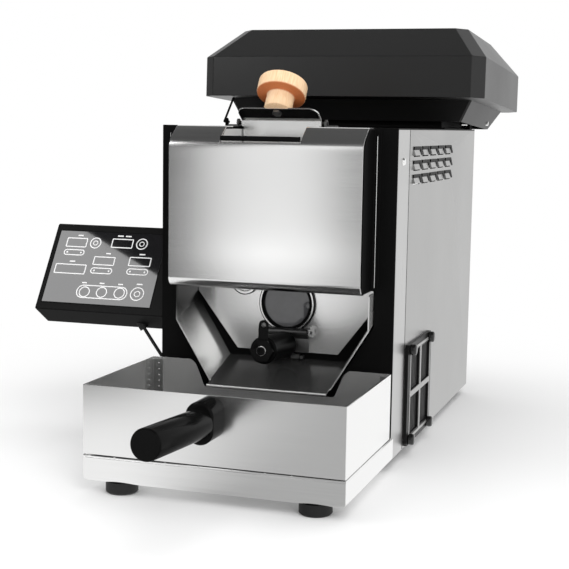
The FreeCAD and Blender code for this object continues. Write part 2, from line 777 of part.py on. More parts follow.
def rear_panel():
    """Rear sheet with air slots and the cut-outs for mains inlet and switch."""
    panel = block(-INSIDE, INSIDE, BODY_DEPTH - SHEET, BODY_DEPTH, up(0), up(DECK_Z))
    half = VENT_LENGTH / 2
    cuts = [
        rear_opening(INLET_Z, INLET_WIDTH - SOCKET_RIM * 2, INLET_HEIGHT - SOCKET_RIM * 2),
        rear_opening(SWITCH_Z, SWITCH_WIDTH, SWITCH_HEIGHT),
    ]
    for number in range(VENT_COUNT):
        z = up(BODY_HEIGHT - VENT_BELOW) + VENT_PITCH * number
        cuts.append(block(-half, half, BODY_DEPTH - PLATE, BODY_DEPTH + PAST, z, z + VENT_WIDTH))
    return panel.cut(cuts)


def exhaust_hole(low, high):
    """Cutter for the way through the deck and its collar."""
    half = COLLAR_HALF - SHEET
    return block(-half, half, COLLAR_FRONT_Y + SHEET, COLLAR_BACK_Y - SHEET, low, high)


def top_deck():
    """Top sheet with the mouth notch, the exhaust opening and the stay's ear."""
    deck = up(DECK_Z)
    top = up(BODY_HEIGHT)
    sheet = block(-HALF, HALF, PLATE, BODY_DEPTH, deck, top)
    rear = BODY_DEPTH - SHEET
    fold = block(INSIDE - SHEET, INSIDE, CORNER_STRIP + FIT, rear, up(DECK_Z - PAN_FLANGE), deck)
    ear_x = STAY_EAR_X
    pin_z = top + STAY_RISE
    ear_front = STAY_FOOT_Y - STAY_EAR_RADIUS
    ear_back = STAY_FOOT_Y + STAY_EAR_RADIUS
    ear = block(ear_x, ear_x + SHEET, ear_front, ear_back, deck, pin_z)
    ear_top = rod_x(STAY_EAR_RADIUS, ear_x, ear_x + SHEET, STAY_FOOT_Y, pin_z)
    whole = joined([sheet, fold, mirrored(fold), ear, ear_top])
    mouth = mouth_space(0, MOUTH_BACK_Y, deck - PAST, top + PAST)
    bore = rod_x(STAY_RADIUS + RUN, ear_x - PAST, ear_x + SHEET + PAST, STAY_FOOT_Y, pin_z)
    return whole.cut([mouth, exhaust_hole(deck - PAST, top + PAST), bore])


# ------------------------------------------------------------------ face of the roaster


def spout_space(y0, y1):
    low = up(SPOUT_BOTTOM_Z) - SPOUT_CLEAR
    high = up(SPOUT_TOP_Z) + SPOUT_CLEAR
    return mouth_space(y0, y1, low, high)


def door_space(y0, y1, low):
    return block(-DOOR_HOLE_HALF, DOOR_HOLE_HALF, y0, y1, up(low) - FIT, up(DOOR_HOLE_TOP_Z))


def face_plate():
    """Recessed steel plate with glass, feed and discharge holes and two ears."""
    half = CHUTE_HALF - SHEET - FIT
    outline = [
        (-FACE_BOTTOM_HALF, up(FACE_BOTTOM_Z)),
        (FACE_BOTTOM_HALF, up(FACE_BOTTOM_Z)),
        (half, up(FACE_SHOULDER_Z)),
        (half, up(RECESS_TOP_Z) - FIT),
        (-half, up(RECESS_TOP_Z) - FIT),
        (-half, up(FACE_SHOULDER_Z)),
    ]
    plate = prism_xz(outline, FACE_Y, HOUSING_Y)
    ear_root_y = FACE_Y + FACE_PLATE / 2
    ear_tip_y = DOOR_PIN_Y - DOOR_KNUCKLE
    pin_z = up(DOOR_PIN_Z)
    ear_outline = [
        (ear_tip_y, pin_z - DOOR_KNUCKLE),
        (ear_root_y, pin_z - DOOR_KNUCKLE * 2),
        (ear_root_y, pin_z + DOOR_KNUCKLE * 2),
        (ear_tip_y, pin_z + DOOR_KNUCKLE),
    ]
    ear_outer = DOOR_EAR_INNER + DOOR_EAR
    ear = prism_yz(ear_outline, DOOR_EAR_INNER, ear_outer)
    ear = ear.cut(rod_y(GLASS_RING_RADIUS + FIT, 0, FACE_Y, 0, up(GLASS_Z)))
    plate = joined([plate, ear, mirrored(ear)])
    front = FACE_Y - PAST
    back = HOUSING_Y + PAST
    reach = ear_outer + PAST
    return plate.cut(
        [
            rod_y(GLASS_RADIUS, front, back, 0, up(GLASS_Z)),
            rod_y(PORT_RADIUS, front, back, PORT_X, up(PORT_Z)),
            spout_space(front, back),
            door_space(front, back, FACE_BOTTOM_Z),
            rod_x(DOOR_PIN_RADIUS + SEAT, -reach, reach, DOOR_PIN_Y, pin_z),
        ]
    )


def sight_glass_ring():
    """Clamping ring with a lip in front of the glass."""
    front = FACE_Y - GLASS_RING_PROUD
    z = up(GLASS_Z)
    ring = rod_y(GLASS_RING_RADIUS, front, FACE_Y, 0, z)
    seat = rod_y(GLASS_RADIUS + GLASS_SEAT + SEAT, FACE_Y - GLASS_THICK, FACE_Y, 0, z)
    bore = rod_y(GLASS_RADIUS, front - PAST, FACE_Y, 0, z)
    return ring.cut([seat, bore])


def sight_glass():
    return rod_y(GLASS_RADIUS + GLASS_SEAT, FACE_Y - GLASS_THICK, FACE_Y, 0, up(GLASS_Z))


def port_cap():
    """Turned cap of the sampling port: a raised rim and a stem in the hole."""
    front = FACE_Y - PORT_PROUD
    z = up(PORT_Z)
    rim = rod_y(PORT_RING_RADIUS, front, FACE_Y, PORT_X, z)
    dish = rod_y(PORT_RADIUS, front - PAST, FACE_Y - PORT_PROUD / 2, PORT_X, z)
    stem = rod_y(PORT_RADIUS - FIT, FACE_Y, HOUSING_Y, PORT_X, z)
    return joined([rim.cut(dish), stem])


def chute():
    """Folded trough that carries the beans from the discharge to the tray."""
    slope = (CHUTE_HALF - CHUTE_FLOOR_HALF) / (CHUTE_SHOULDER_Z - CHUTE_FLOOR_Z)
    mitre = math.tan(math.atan(slope) / 2)

    def trough(inset, top):
        floor_half = CHUTE_FLOOR_HALF - mitre * inset
        half = CHUTE_HALF - inset
        shoulder = CHUTE_SHOULDER_Z + inset * slope / 2
        return [
            (-half, top),
            (-half, shoulder),
            (-floor_half, CHUTE_FLOOR_Z + inset),
            (floor_half, CHUTE_FLOOR_Z + inset),
            (half, shoulder),
            (half, top),
        ]

    def swept(outline, front):
        face = closed_face([V(x, HOUSING_Y, up(z)) for x, z in outline])
        return face.extrude(V(0, front - HOUSING_Y, -chute_drop(front)))

    walls = swept(trough(0, CHUTE_TOP_Z), CHUTE_FRONT_Y)
    walls = walls.cut(swept(trough(SHEET, CHUTE_TOP_Z + SHEET), CHUTE_FRONT_Y))
    half = CHUTE_FLOOR_HALF - SHEET
    lip_outline = [
        (-half, CHUTE_FLOOR_Z),
        (half, CHUTE_FLOOR_Z),
        (half, CHUTE_FLOOR_Z + SHEET),
        (-half, CHUTE_FLOOR_Z + SHEET),
    ]
    lip = swept(lip_outline, CHUTE_LIP_Y)
    hem_z = up(CHUTE_FLOOR_Z + SHEET / 2) - chute_drop(CHUTE_LIP_Y)
    hem = rod_x(SHEET, -half, half, CHUTE_LIP_Y, hem_z)
    reach = CHUTE_HALF + SHEET
    low = up(COVER_BOTTOM_Z) - SHEET
    under_cover = block(-reach, reach, CHUTE_FRONT_Y - SHEET, FIT, low, up(CHUTE_TOP_Z))
    return joined([walls, lip, hem]).cut(under_cover)


def door_stop():
    """Small block and pin under the discharge hole."""
    low = up(CHUTE_FLOOR_Z + SHEET)
    high = up(FACE_BOTTOM_Z) - STOP_BELOW
    right = STOP_X + STOP_WIDTH
    body = block(STOP_X, right, FACE_Y - STOP_OUT, HOUSING_Y, low + FIT, high)
    pin_x = right + STOP_PIN_GAP + STOP_PIN_RADIUS
    pin = rod_y(STOP_PIN_RADIUS, FACE_Y - STOP_PIN_OUT, HOUSING_Y, pin_x, low + STOP_PIN_RISE)
    return Part.makeCompound([body, pin])


# ------------------------------------------------------------------ front cover


def cover_outline(inset):
    return [
        (0, up(BODY_HEIGHT) - inset),
        (-COVER_FLAT + inset / 2, up(BODY_HEIGHT) - inset),
        (COVER_FRONT_Y + inset, up(COVER_BREAK_Z) - inset / 2),
        (COVER_FRONT_Y + inset, up(COVER_BOTTOM_Z) + inset),
        (COVER_RETURN_Y, up(COVER_BOTTOM_Z) + inset),
    ]


def front_cover():
    """Steel cover folded from one sheet, with the bean mouth cut in its top."""
    bends = (COVER_BEND, COVER_BREAK_BEND, COVER_BOTTOM_BEND)
    cover = folded_sheet(cover_outline(0), bends, -SHEET, -COVER_HALF, COVER_HALF)
    low = up(COVER_BREAK_Z) - COVER_BREAK_BEND
    high = up(BODY_HEIGHT) + PAST
    return cover.cut(at_mouth(block(-MOUTH_HALF, MOUTH_HALF, MOUTH_FRONT_Y, PAST, low, high)))


def cover_cheeks():
    """Black side plates of the cover, each with a flange on the front plate."""
    bends = (COVER_BEND, COVER_BREAK_BEND, COVER_BOTTOM_BEND)
    wire = bent_wire([V(COVER_HALF, y, z) for y, z in cover_outline(CHEEK_INSET)], bends)
    first = wire.OrderedVertexes[0].Point
    last = wire.OrderedVertexes[-1].Point
    corner = V(COVER_HALF, 0, last.z)
    closing = [
        Part.LineSegment(last, corner).toShape(),
        Part.LineSegment(corner, first).toShape(),
    ]
    side = Part.Face(Part.Wire(wire.OrderedEdges + closing)).extrude(V(SHEET, 0, 0))
    outer = COVER_HALF + CHEEK_FLANGE
    flange = block(COVER_HALF, outer, -SHEET, 0, up(COVER_BOTTOM_Z) + CHEEK_INSET, first.z)
    return pair(joined([side, flange]))


# ------------------------------------------------------------------ inlet funnel and flap


def inlet_funnel():
    """Sheet funnel from the mouth down to the feed hole of the drum."""
    edge = up(BODY_HEIGHT) - SHEET - FUNNEL_DROP
    lip = up(COVER_BREAK_Z) - COVER_BREAK_BEND / 4
    back = MOUTH_BACK_Y + FUNNEL_WALL
    spout_low = up(SPOUT_BOTTOM_Z)
    spout_high = up(SPOUT_TOP_Z)

    def outline(inset, past):
        front = MOUTH_FRONT_Y + inset
        return [
            (front, up(FUNNEL_LIP_Z) + inset * 2),
            (front, lip + past),
            (-COVER_FLAT, edge + past),
            (back - inset, edge + past),
            (back - inset, spout_high + FUNNEL_STEP - inset),
            (HOUSING_Y, spout_high - inset),
            (SPOUT_END_Y + past, spout_high - inset),
            (SPOUT_END_Y + past, spout_low + inset),
            (HOUSING_Y, spout_low + inset * 2),
        ]

    outer_half = MOUTH_HALF + FUNNEL_WALL
    outer = prism_yz(outline(0, 0), -outer_half, outer_half)
    inner = prism_yz(outline(FUNNEL_WALL, PAST), -MOUTH_HALF, MOUTH_HALF)
    return at_mouth(outer.cut(inner))


def flap_brackets():
    """Two angle brackets on the deck that hold the flap's pin."""
    deck = up(BODY_HEIGHT)
    pin_z = up(FLAP_PIN_Z)
    inner = FLAP_EAR_INNER
    outer = inner + FLAP_EAR
    reach = FLAP_EAR_REACH
    foot_front = MOUTH_BACK_Y - reach * 2
    foot_back = MOUTH_BACK_Y + reach
    foot = block(inner, inner + FLAP_FOOT, foot_front, foot_back, deck, deck + FLAP_EAR)
    ear_outline = [
        (FLAP_PIN_Y - reach, deck),
        (FLAP_PIN_Y - reach, pin_z + reach / 2),
        (FLAP_PIN_Y - reach / 2, pin_z + reach),
        (FLAP_PIN_Y + reach / 2, pin_z + reach),
        (FLAP_PIN_Y + reach, pin_z + reach / 2),
        (FLAP_PIN_Y + reach, deck),
    ]
    ear = prism_yz(ear_outline, inner, outer)
    bore = rod_x(FLAP_PIN_RADIUS + SEAT, inner - PAST, outer + PAST, FLAP_PIN_Y, pin_z)
    return at_mouth(pair(joined([foot, ear]).cut(bore)))


def flap_pin():
    half = FLAP_EAR_INNER + FLAP_EAR + FLAP_PIN_PROUD
    return at_mouth(rod_x(FLAP_PIN_RADIUS, -half, half, FLAP_PIN_Y, up(FLAP_PIN_Z)))


def flap_run():
    """Unit vector up the flap's leaning top plate."""
    lean = math.radians(FLAP_LEAN)
    return V(0, -math.cos(lean), math.sin(lean))


def place_on_flap(shape):
    """Stand a shape made along +Z on the upper face of the flap's top plate."""
    turned = shape.copy()
    turned.rotate(V(0, 0, 0), V(1, 0, 0), -FLAP_LEAN)
    turned.translate(V(0, FLAP_Y, up(FLAP_BEND_Z)) + flap_run() * KNOB_UP_FLAP)
    return turned


def inlet_flap():
    """Bent sheet: gate blade below, leaning top plate above, knuckle on the pin."""
    bend = V(0, FLAP_Y, up(FLAP_BEND_Z))
    edge = bend + flap_run() * FLAP_TOP_LENGTH
    outline = [(FLAP_Y, up(FLAP_BOTTOM_Z)), (bend.y, bend.z), (edge.y, edge.z)]
    sheet = folded_sheet(outline, (FLAP_BEND,), -SHEET, -FLAP_TOP_HALF, FLAP_TOP_HALF)
    sheet = rounded(
        sheet,
        FLAP_CORNER,
        lambda b: b.DiagonalLength < SHEET + SEAT and b.ZMax > edge.z - SEAT,
    )
    low = up(FLAP_BOTTOM_Z) - PAST
    high = up(BODY_HEIGHT) + FIT
    side = block(FLAP_LOW_HALF, FLAP_TOP_HALF + PAST, 0, MOUTH_BACK_Y, low, high)
    sheet = sheet.cut([side, mirrored(side)])
    pin_z = up(FLAP_PIN_Z)
    knuckle = rod_x(FLAP_KNUCKLE, -FLAP_LOW_HALF, FLAP_LOW_HALF, FLAP_PIN_Y, pin_z)
    reach = FLAP_LOW_HALF + PAST
    bore = rod_x(FLAP_PIN_RADIUS + RUN, -reach, reach, FLAP_PIN_Y, pin_z)
    through = SHEET + PAST
    hole = Part.makeCylinder(KNOB_SCREW_RADIUS + SEAT, through * 2, V(0, 0, -through))
    return at_mouth(joined([sheet, knuckle]).cut([bore, place_on_flap(hole)]))


def wooden_knob():
    """Turned knob: a straight neck under a broad flat cap."""
    height = KNOB_NECK + KNOB_RIM
    outline = [
        V(0, 0, 0),
        V(KNOB_NECK_RADIUS, 0, 0),
        V(KNOB_NECK_RADIUS, 0, KNOB_NECK),
        V(KNOB_RADIUS, 0, KNOB_NECK),
        V(KNOB_RADIUS, 0, height - KNOB_EDGE),
        V(KNOB_RADIUS - KNOB_EDGE, 0, height),
        V(0, 0, height),
    ]
    knob = closed_face(outline).revolve(V(0, 0, 0), V(0, 0, 1), 360)
    bore = Part.makeCylinder(KNOB_SCREW_RADIUS + SEAT, KNOB_SCREW_DEPTH + PAST, V(0, 0, -PAST))
    return at_mouth(place_on_flap(knob.cut(bore)))


def knob_screw():
    """Screw from under the top plate up into the knob."""
    head = six_sided(KNOB_SCREW_HEAD, V(0, 0, -SHEET), V(0, 0, -KNOB_SCREW_RADIUS))
    shank = Part.makeCylinder(KNOB_SCREW_RADIUS, KNOB_SCREW_DEPTH, V(0, 0, -SHEET))
    return at_mouth(place_on_flap(joined([head, shank])))


# ------------------------------------------------------------------ discharge flap


def discharge_flap():
    """Door plate over the discharge hole, hung from its pin, with the grip's stub."""
    low = up(FACE_BOTTOM_Z)
    back = FACE_Y - FIT
    front = back - DOOR_THICK
    top = up(DOOR_HOLE_TOP_Z)
    pin_z = up(DOOR_PIN_Z)
    plate = block(-DOOR_HALF, DOOR_HALF, front, back, low, top)
    arm_outline = [
        (DOOR_PIN_Y, pin_z - DOOR_KNUCKLE),
        (front, top - DOOR_THICK * 2),
        (back, top - DOOR_THICK * 2),
        (back, top),
        (DOOR_PIN_Y + DOOR_KNUCKLE, pin_z - DOOR_KNUCKLE * 0.75),
        (DOOR_PIN_Y, pin_z),
    ]
    arm = prism_yz(arm_outline, -DOOR_HALF, DOOR_HALF)
    knuckle = rod_x(DOOR_KNUCKLE, -DOOR_HALF, DOOR_HALF, DOOR_PIN_Y, pin_z)
    stub = rod_y(GRIP_STUB_RADIUS, GRIP_BACK_Y, front, 0, up(GRIP_Z))
    reach = DOOR_HALF + PAST
    bore = rod_x(DOOR_PIN_RADIUS + RUN, -reach, reach, DOOR_PIN_Y, pin_z)
    return joined([plate, arm, knuckle, stub]).cut(bore)


def door_pin():
    half = DOOR_EAR_INNER + DOOR_EAR + DOOR_PIN_PROUD
    return rod_x(DOOR_PIN_RADIUS, -half, half, DOOR_PIN_Y, up(DOOR_PIN_Z))


def grip_axis():
    """Back and front centre of the grip."""
    rise = math.tan(math.radians(GRIP_RISE)) * GRIP_LENGTH
    return V(0, GRIP_BACK_Y, up(GRIP_Z)), V(0, GRIP_FRONT_Y, up(GRIP_Z) + rise)


def discharge_grip():
    back, front = grip_axis()
    run = (back - front).normalize()
    grip = rod_between(GRIP_RADIUS, front, back + run)
    grip = chamfered(grip, EDGE, lambda b: b.YMax < GRIP_FRONT_Y + EDGE)
    wide = GRIP_RADIUS * 2
    behind = block(
        -wide, wide, GRIP_BACK_Y, GRIP_BACK_Y + wide, up(GRIP_Z) - wide, up(GRIP_Z) + wide
    )
    return grip.cut(behind)


def grip_cap():
    """Six-sided washer with the ring-headed screw on the end of the grip."""
    back, front = grip_axis()
    run = (front - back).normalize()
    cap = six_sided(GRIP_CAP_RADIUS, front + run * LATCH, run * GRIP_CAP)
    base = front + run * (LATCH + GRIP_CAP - FIT)
    ring = Part.makeCylinder(GRIP_SCREW_RADIUS, GRIP_CAP / 2, base, run)
    bore = Part.makeCylinder(GRIP_SCREW_RADIUS / 2, GRIP_CAP, base, run)
    return joined([cap, ring.cut(bore)])


def latch_arm():
    """Thin hanging plate clamped between grip and cap, with a hole at its top."""
    back, front = grip_axis()
    run = (front - back).normalize()
    across = V(LATCH_WIDTH, 0, 0)
    tall = V(run).cross(across).normalize()
    radius = LATCH_WIDTH / 2
    drop = GRIP_SCREW_RADIUS * 2
    low = front - across * 0.5 - tall * drop
    lift = tall * (LATCH_RISE + drop - radius)
    plate = closed_face([low, low + across, low + across + lift, low + lift]).extrude(run * LATCH)
    head = front + tall * (LATCH_RISE - radius)
    tip = Part.makeCylinder(radius, LATCH, head, run)
    hole = Part.makeCylinder(radius / 2, LATCH * 3, head - run * LATCH, run)
    return joined([plate, tip]).cut(hole)


# ------------------------------------------------------------------ tray and handle


def handle_screw_heights():
    return [up(MOUNT_Z) - HANDLE_SCREW_PITCH / 2, up(MOUNT_Z) + HANDLE_SCREW_PITCH / 2]


def tray_scoop(low, high):
    """Cutter for the tray's back wall: a trough with flared, rounded shoulders."""
    back = TRAY_BACK_Y + PAST
    shoulder = high + TRAY_SCOOP_SPREAD / 2
    top_half = CHUTE_FLOOR_HALF + TRAY_SCOOP_SPREAD
    low_half = CHUTE_FLOOR_HALF + TRAY_SCOOP_SIDE
    corners = [
        V(-TRAY_HALF, back, shoulder),
        V(-top_half, back, high),
        V(-low_half, back, low),
        V(low_half, back, low),
        V(top_half, back, high),
        V(TRAY_HALF, back, shoulder),
    ]
    bends = (TRAY_SCOOP_SPREAD, TRAY_SCOOP_BEND, TRAY_SCOOP_BEND, TRAY_SCOOP_SPREAD)
    wire = bent_wire(corners, bends)
    closing = Part.LineSegment(corners[-1], corners[0]).toShape()
    face = Part.Face(Part.Wire(wire.OrderedEdges + [closing]))
    return face.extrude(V(0, -SHEET - PAST * 2, 0))


def bean_tray():
    """Open tray of folded sheet; its back wall is cut down round the chute."""
    low = up(TRAY_Z)
    high = low + TRAY_HEIGHT
    outer = block(-TRAY_HALF, TRAY_HALF, TRAY_FRONT_Y, TRAY_BACK_Y, low, high)
    outer = rounded(outer, SHEET, lambda b: b.ZLength > TRAY_HEIGHT - SEAT)

    def inside(inset, bottom):
        half = TRAY_HALF - inset
        return block(-half, half, TRAY_FRONT_Y + inset, TRAY_BACK_Y - inset, bottom, high)

    scoop_low = up(CHUTE_FLOOR_Z) - chute_drop(TRAY_BACK_Y) - TRAY_SCOOP_UNDER
    cuts = [inside(SHEET, low + SHEET), inside(TRAY_LEDGE, low), tray_scoop(scoop_low, high)]
    for z in handle_screw_heights():
        front = TRAY_FRONT_Y - PAST
        cuts.append(rod_y(HANDLE_SCREW_RADIUS + SEAT, front, TRAY_FRONT_Y + SHEET + PAST, 0, z))
    return outer.cut(cuts)


def tray_floor():
    """Slotted sheet that lies on the ledge of the tray."""
    half = TRAY_HALF - SHEET - FIT
    low = up(TRAY_Z) + SHEET
    y0 = TRAY_FRONT_Y + SHEET + FIT
    y1 = TRAY_BACK_Y - SHEET - FIT
    floor = block(-half, half, y0, y1, low, low + SHEET)
    columns = int((half - TRAY_LEDGE) * 2 / SLOT_PITCH_X)
    rows = int((y1 - y0 - TRAY_LEDGE * 2) / SLOT_PITCH_Y)
    first_x = -(columns - 1) / 2.0 * SLOT_PITCH_X - SLOT_LENGTH / 2
    first_y = (y0 + y1) / 2 - (rows - 1) / 2.0 * SLOT_PITCH_Y - SLOT_WIDTH / 2
    slots = []
    for column in range(columns):
        x = first_x + SLOT_PITCH_X * column
        for row in range(rows):
            y = first_y + SLOT_PITCH_Y * row
            slots.append(block(x, x + SLOT_LENGTH, y, y + SLOT_WIDTH, low - PAST, low + SHEET + PAST))
    return floor.cut(slots)


def handle_mount():
    """Upright block with rounded ends between tray and handle bar."""
    back = TRAY_FRONT_Y
    front = back - MOUNT_LENGTH
    radius = MOUNT_WIDTH / 2.0
    straight = MOUNT_HEIGHT / 2.0 - radius
    low = up(MOUNT_Z) - straight
    high = up(MOUNT_Z) + straight
    body = block(-radius, radius, front, back, low, high)
    mount = joined([body, rod_y(radius, front, back, 0, high), rod_y(radius, front, back, 0, low)])
    mount = chamfered(mount, EDGE, lambda b: b.YMax < front + SEAT)
    bores = []
    for z in handle_screw_heights():
        start = back - HANDLE_SCREW_DEPTH - PAST
        bores.append(rod_y(HANDLE_SCREW_RADIUS + SEAT, start, back + PAST, 0, z))
    return mount.cut(bores)


def handle_bar():
    """Round bar that rises a little towards its free end."""
    start_y = TRAY_FRONT_Y - MOUNT_LENGTH
    rise = math.radians(BAR_RISE)
    run = V(0, -math.cos(rise), math.sin(rise))
    start = V(0, start_y, up(MOUNT_Z))
    tip = start + run * BAR_LENGTH
    bar = rod_between(BAR_RADIUS, start - run * PLATE, tip)
    bar = chamfered(bar, EDGE, lambda b: b.YMax < tip.y + EDGE)
    wide = BAR_RADIUS * 2
    behind = block(-wide, wide, start_y, start_y + wide, up(MOUNT_Z) - wide, up(MOUNT_Z) + wide)
    return bar.cut(behind)


def handle_screws():
    """Two screws from inside the tray into the mount."""
    inner = TRAY_FRONT_Y + SHEET
    screws = []
    for z in handle_screw_heights():
        head = six_sided(HANDLE_SCREW_HEAD, V(0, inner, z), V(0, HANDLE_SCREW_RADIUS, 0))
        shank = rod_y(HANDLE_SCREW_RADIUS, TRAY_FRONT_Y - HANDLE_SCREW_DEPTH, inner, 0, z)
        screws.append(joined([head, shank]))
    return Part.makeCompound(screws)


# ------------------------------------------------------------------ drum, housing, drive


def heater_places():
    """Centres of the heater rods, spread under the drum."""
    radius = DRUM_RADIUS + HEATER_GAP / 2.0
    places = []
    for number in range(HEATER_COUNT):
        turn = (number - (HEATER_COUNT - 1) / 2.0) * HEATER_SPREAD
        angle = math.radians(turn)
        places.append((radius * math.sin(angle), up(DRUM_Z) - radius * math.cos(angle)))
    return places


def drum_housing():
    """Front wall, barrel and rear wall round the drum."""
    z = up(DRUM_Z)
    radius = HOUSING_RADIUS + SHEET
    edge = RECESS_HALF + SHEET
    low_half = CHUTE_FLOOR_HALF + SHEET * 2
    shoulder = up(CHUTE_SHOULDER_Z) - SHEET * 3
    wall = [
        (-low_half, z - radius),
        (low_half, z - radius),
        (edge, shoulder),
        (edge, up(RECESS_TOP_Z)),
        (-edge, up(RECESS_TOP_Z)),
        (-edge, shoulder),
    ]
    inner_y = HOUSING_Y + SHEET
    front = prism_xz(wall, HOUSING_Y, inner_y)
    barrel = rod_y(radius, HOUSING_Y, HOUSING_BACK_Y + SHEET, 0, z)
    y0 = HOUSING_Y - PAST
    y1 = inner_y + PAST
    rear0 = HOUSING_BACK_Y - PAST
    rear1 = HOUSING_BACK_Y + SHEET + PAST
    cuts = [
        rod_y(HOUSING_RADIUS, inner_y, HOUSING_BACK_Y, 0, z),
        rod_y(GLASS_RADIUS, y0, y1, 0, up(GLASS_Z)),
        spout_space(y0, y1),
        door_space(y0, y1, FACE_BOTTOM_Z + DOOR_SILL),
        rod_y(BUSH_RADIUS + SEAT, rear0, rear1, 0, z),
    ]
    for rod_place, rod_height in heater_places():
        cuts.append(rod_y(HEATER_RADIUS + SEAT, rear0, rear1, rod_place, rod_height))
    return joined([front, barrel]).cut(cuts)


def heater():
    start = HOUSING_Y + SHEET + FIT
    end = HOUSING_BACK_Y + HEATER_TAIL
    rods = [rod_y(HEATER_RADIUS, start, end, x, z) for x, z in heater_places()]
    return Part.makeCompound(rods)


def drum():
    """Open-fronted drum with lifting vanes and a hub in its back wall."""
    z = up(DRUM_Z)
    back = DRUM_FRONT_Y + DRUM_LENGTH
    front_wall = DRUM_FRONT_Y + DRUM_WALL
    shell = rod_y(DRUM_RADIUS, DRUM_FRONT_Y, back, 0, z)
    hollow = rod_y(DRUM_RADIUS - DRUM_WALL, front_wall, back - DRUM_WALL, 0, z)
    mouth = rod_y(DRUM_RADIUS - DRUM_LIP, DRUM_FRONT_Y - PAST, front_wall + PAST, 0, z)
    pieces = [shell.cut([hollow, mouth]), rod_y(HUB_RADIUS, back - HUB_LENGTH, back, 0, z)]
    half = DRUM_WALL / 2
    vane_front = DRUM_FRONT_Y + DRUM_LIP * 2
    vane_top = z + DRUM_RADIUS - half
    for number in range(VANE_COUNT):
        vane = block(-half, half, vane_front, back - half, vane_top - VANE_HEIGHT, vane_top)
        vane.rotate(V(0, 0, z), V(0, 1, 0), 360.0 / VANE_COUNT * number)
        pieces.append(vane)
    return joined(pieces).cut(rod_y(SHAFT_RADIUS + SEAT, DRUM_FRONT_Y, back + PAST, 0, z))


def drum_shaft():
    start = DRUM_FRONT_Y + DRUM_LENGTH - HUB_LENGTH
    return rod_y(SHAFT_RADIUS, start, GEARBOX_Y + SHAFT_GRIP, 0, up(DRUM_Z))


def drum_bush():
    """Plain bush in the rear wall of the housing."""
    z = up(DRUM_Z)
    back = HOUSING_BACK_Y + BUSH_LENGTH
    sleeve = rod_y(BUSH_RADIUS, HOUSING_BACK_Y, back, 0, z)
    return sleeve.cut(rod_y(SHAFT_RADIUS + RUN, HOUSING_BACK_Y - PAST, back + PAST, 0, z))


def drum_motor():
    """Gearmotor on four square standoffs behind the housing."""
    z = up(DRUM_Z)
    half = GEARBOX_SIZE / 2.0
    gearbox_back = GEARBOX_Y + GEARBOX_LENGTH
    pieces = [
        block(-half, half, GEARBOX_Y, gearbox_back, z - half, z + half),
        rod_y(MOTOR_RADIUS, gearbox_back, gearbox_back + MOTOR_LENGTH, 0, z),
    ]
    for x in (-half, half - STANDOFF):
        for low in (z - half, z + half - STANDOFF):
            pieces.append(
                block(x, x + STANDOFF, HOUSING_BACK_Y + SHEET, GEARBOX_Y, low, low + STANDOFF)
            )
    bore = rod_y(SHAFT_RADIUS + RUN, GEARBOX_Y - PAST, GEARBOX_Y + SHAFT_GRIP + FIT, 0, z)
    return joined(pieces).cut(bore)


# ------------------------------------------------------------------ cooling fan and filter


def thumb_places():
    """Screw centres near the corners of the filter frame."""
    low = up(FILTER_BOTTOM_Z)
    ys = (FILTER_FRONT_Y + THUMB_END_INSET, FILTER_FRONT_Y + FILTER_LENGTH - THUMB_END_INSET)
    zs = (low + THUMB_INSET, low + FILTER_HEIGHT - THUMB_INSET)
    return [(y, z) for y in ys for z in zs]


def filter_panes(margin):
    """The four openings of the filter frame as (y0, y1, z0, z1)."""
    y0 = FILTER_FRONT_Y + FILTER_BORDER
    y1 = FILTER_FRONT_Y + FILTER_LENGTH - FILTER_BORDER
    z0 = up(FILTER_BOTTOM_Z) + FILTER_BORDER
    z1 = up(FILTER_BOTTOM_Z) + FILTER_HEIGHT - FILTER_BORDER
    mid_y = (y0 + y1) / 2
    mid_z = (z0 + z1) / 2
    bar = FILTER_BAR / 2 + margin
    ys = [(y0 + margin, mid_y - bar), (mid_y + bar, y1 - margin)]
    zs = [(z0 + margin, mid_z - bar), (mid_z + bar, z1 - margin)]
    return [(ya, yb, za, zb) for ya, yb in ys for za, zb in zs]


def mesh_block(margin, thick):
    """Flat block behind the panes, as large as the mesh and a margin round it."""
    border = FILTER_BORDER - FILTER_LAP - margin
    y0 = FILTER_FRONT_Y + border
    y1 = FILTER_FRONT_Y + FILTER_LENGTH - border
    z0 = up(FILTER_BOTTOM_Z) + border
    z1 = up(FILTER_BOTTOM_Z) + FILTER_HEIGHT - border
    return block(HALF - margin, HALF + thick, y0, y1, z0, z1)


def filter_frame():
    """Frame with four panes, a pocket for the mesh and holes for the screws."""
    y0 = FILTER_FRONT_Y
    z0 = up(FILTER_BOTTOM_Z)
    outer = HALF + FILTER_PROUD
    frame = block(HALF, outer, y0, y0 + FILTER_LENGTH, z0, z0 + FILTER_HEIGHT)
    frame = chamfered(frame, FILTER_CORNER, lambda b: b.XLength > FILTER_PROUD - SEAT)
    cuts = [mesh_block(FIT, FILTER_MESH + SEAT)]
    for ya, yb, za, zb in filter_panes(0):
        cuts.append(block(HALF - PAST, outer + PAST, ya, yb, za, zb))
    for y, z in thumb_places():
        cuts.append(rod_x(THUMB_SHANK + SEAT, HALF - PAST, outer + PAST, y, z))
    return frame.cut(cuts)


def filter_mesh():
    """Thin sheet with upright slots behind every pane."""
    slots = []
    for ya, yb, za, zb in filter_panes(FILTER_LAP):
        pitch = (yb - ya) / FILTER_SLOTS
        for number in range(FILTER_SLOTS):
            y = ya + pitch * (number + 0.5) - FILTER_SLOT / 2
            slots.append(block(HALF - PAST, HALF + FILTER_PROUD, y, y + FILTER_SLOT, za, zb))
    return mesh_block(0, FILTER_MESH).cut(slots)


def filter_screws():
    face = HALF + FILTER_PROUD
    screws = []
    for y, z in thumb_places():
        head = rod_x(THUMB_RADIUS, face, face + THUMB_PROUD, y, z)
        screws.append(joined([head, rod_x(THUMB_SHANK, INSIDE, face, y, z)]))
    return Part.makeCompound(screws)


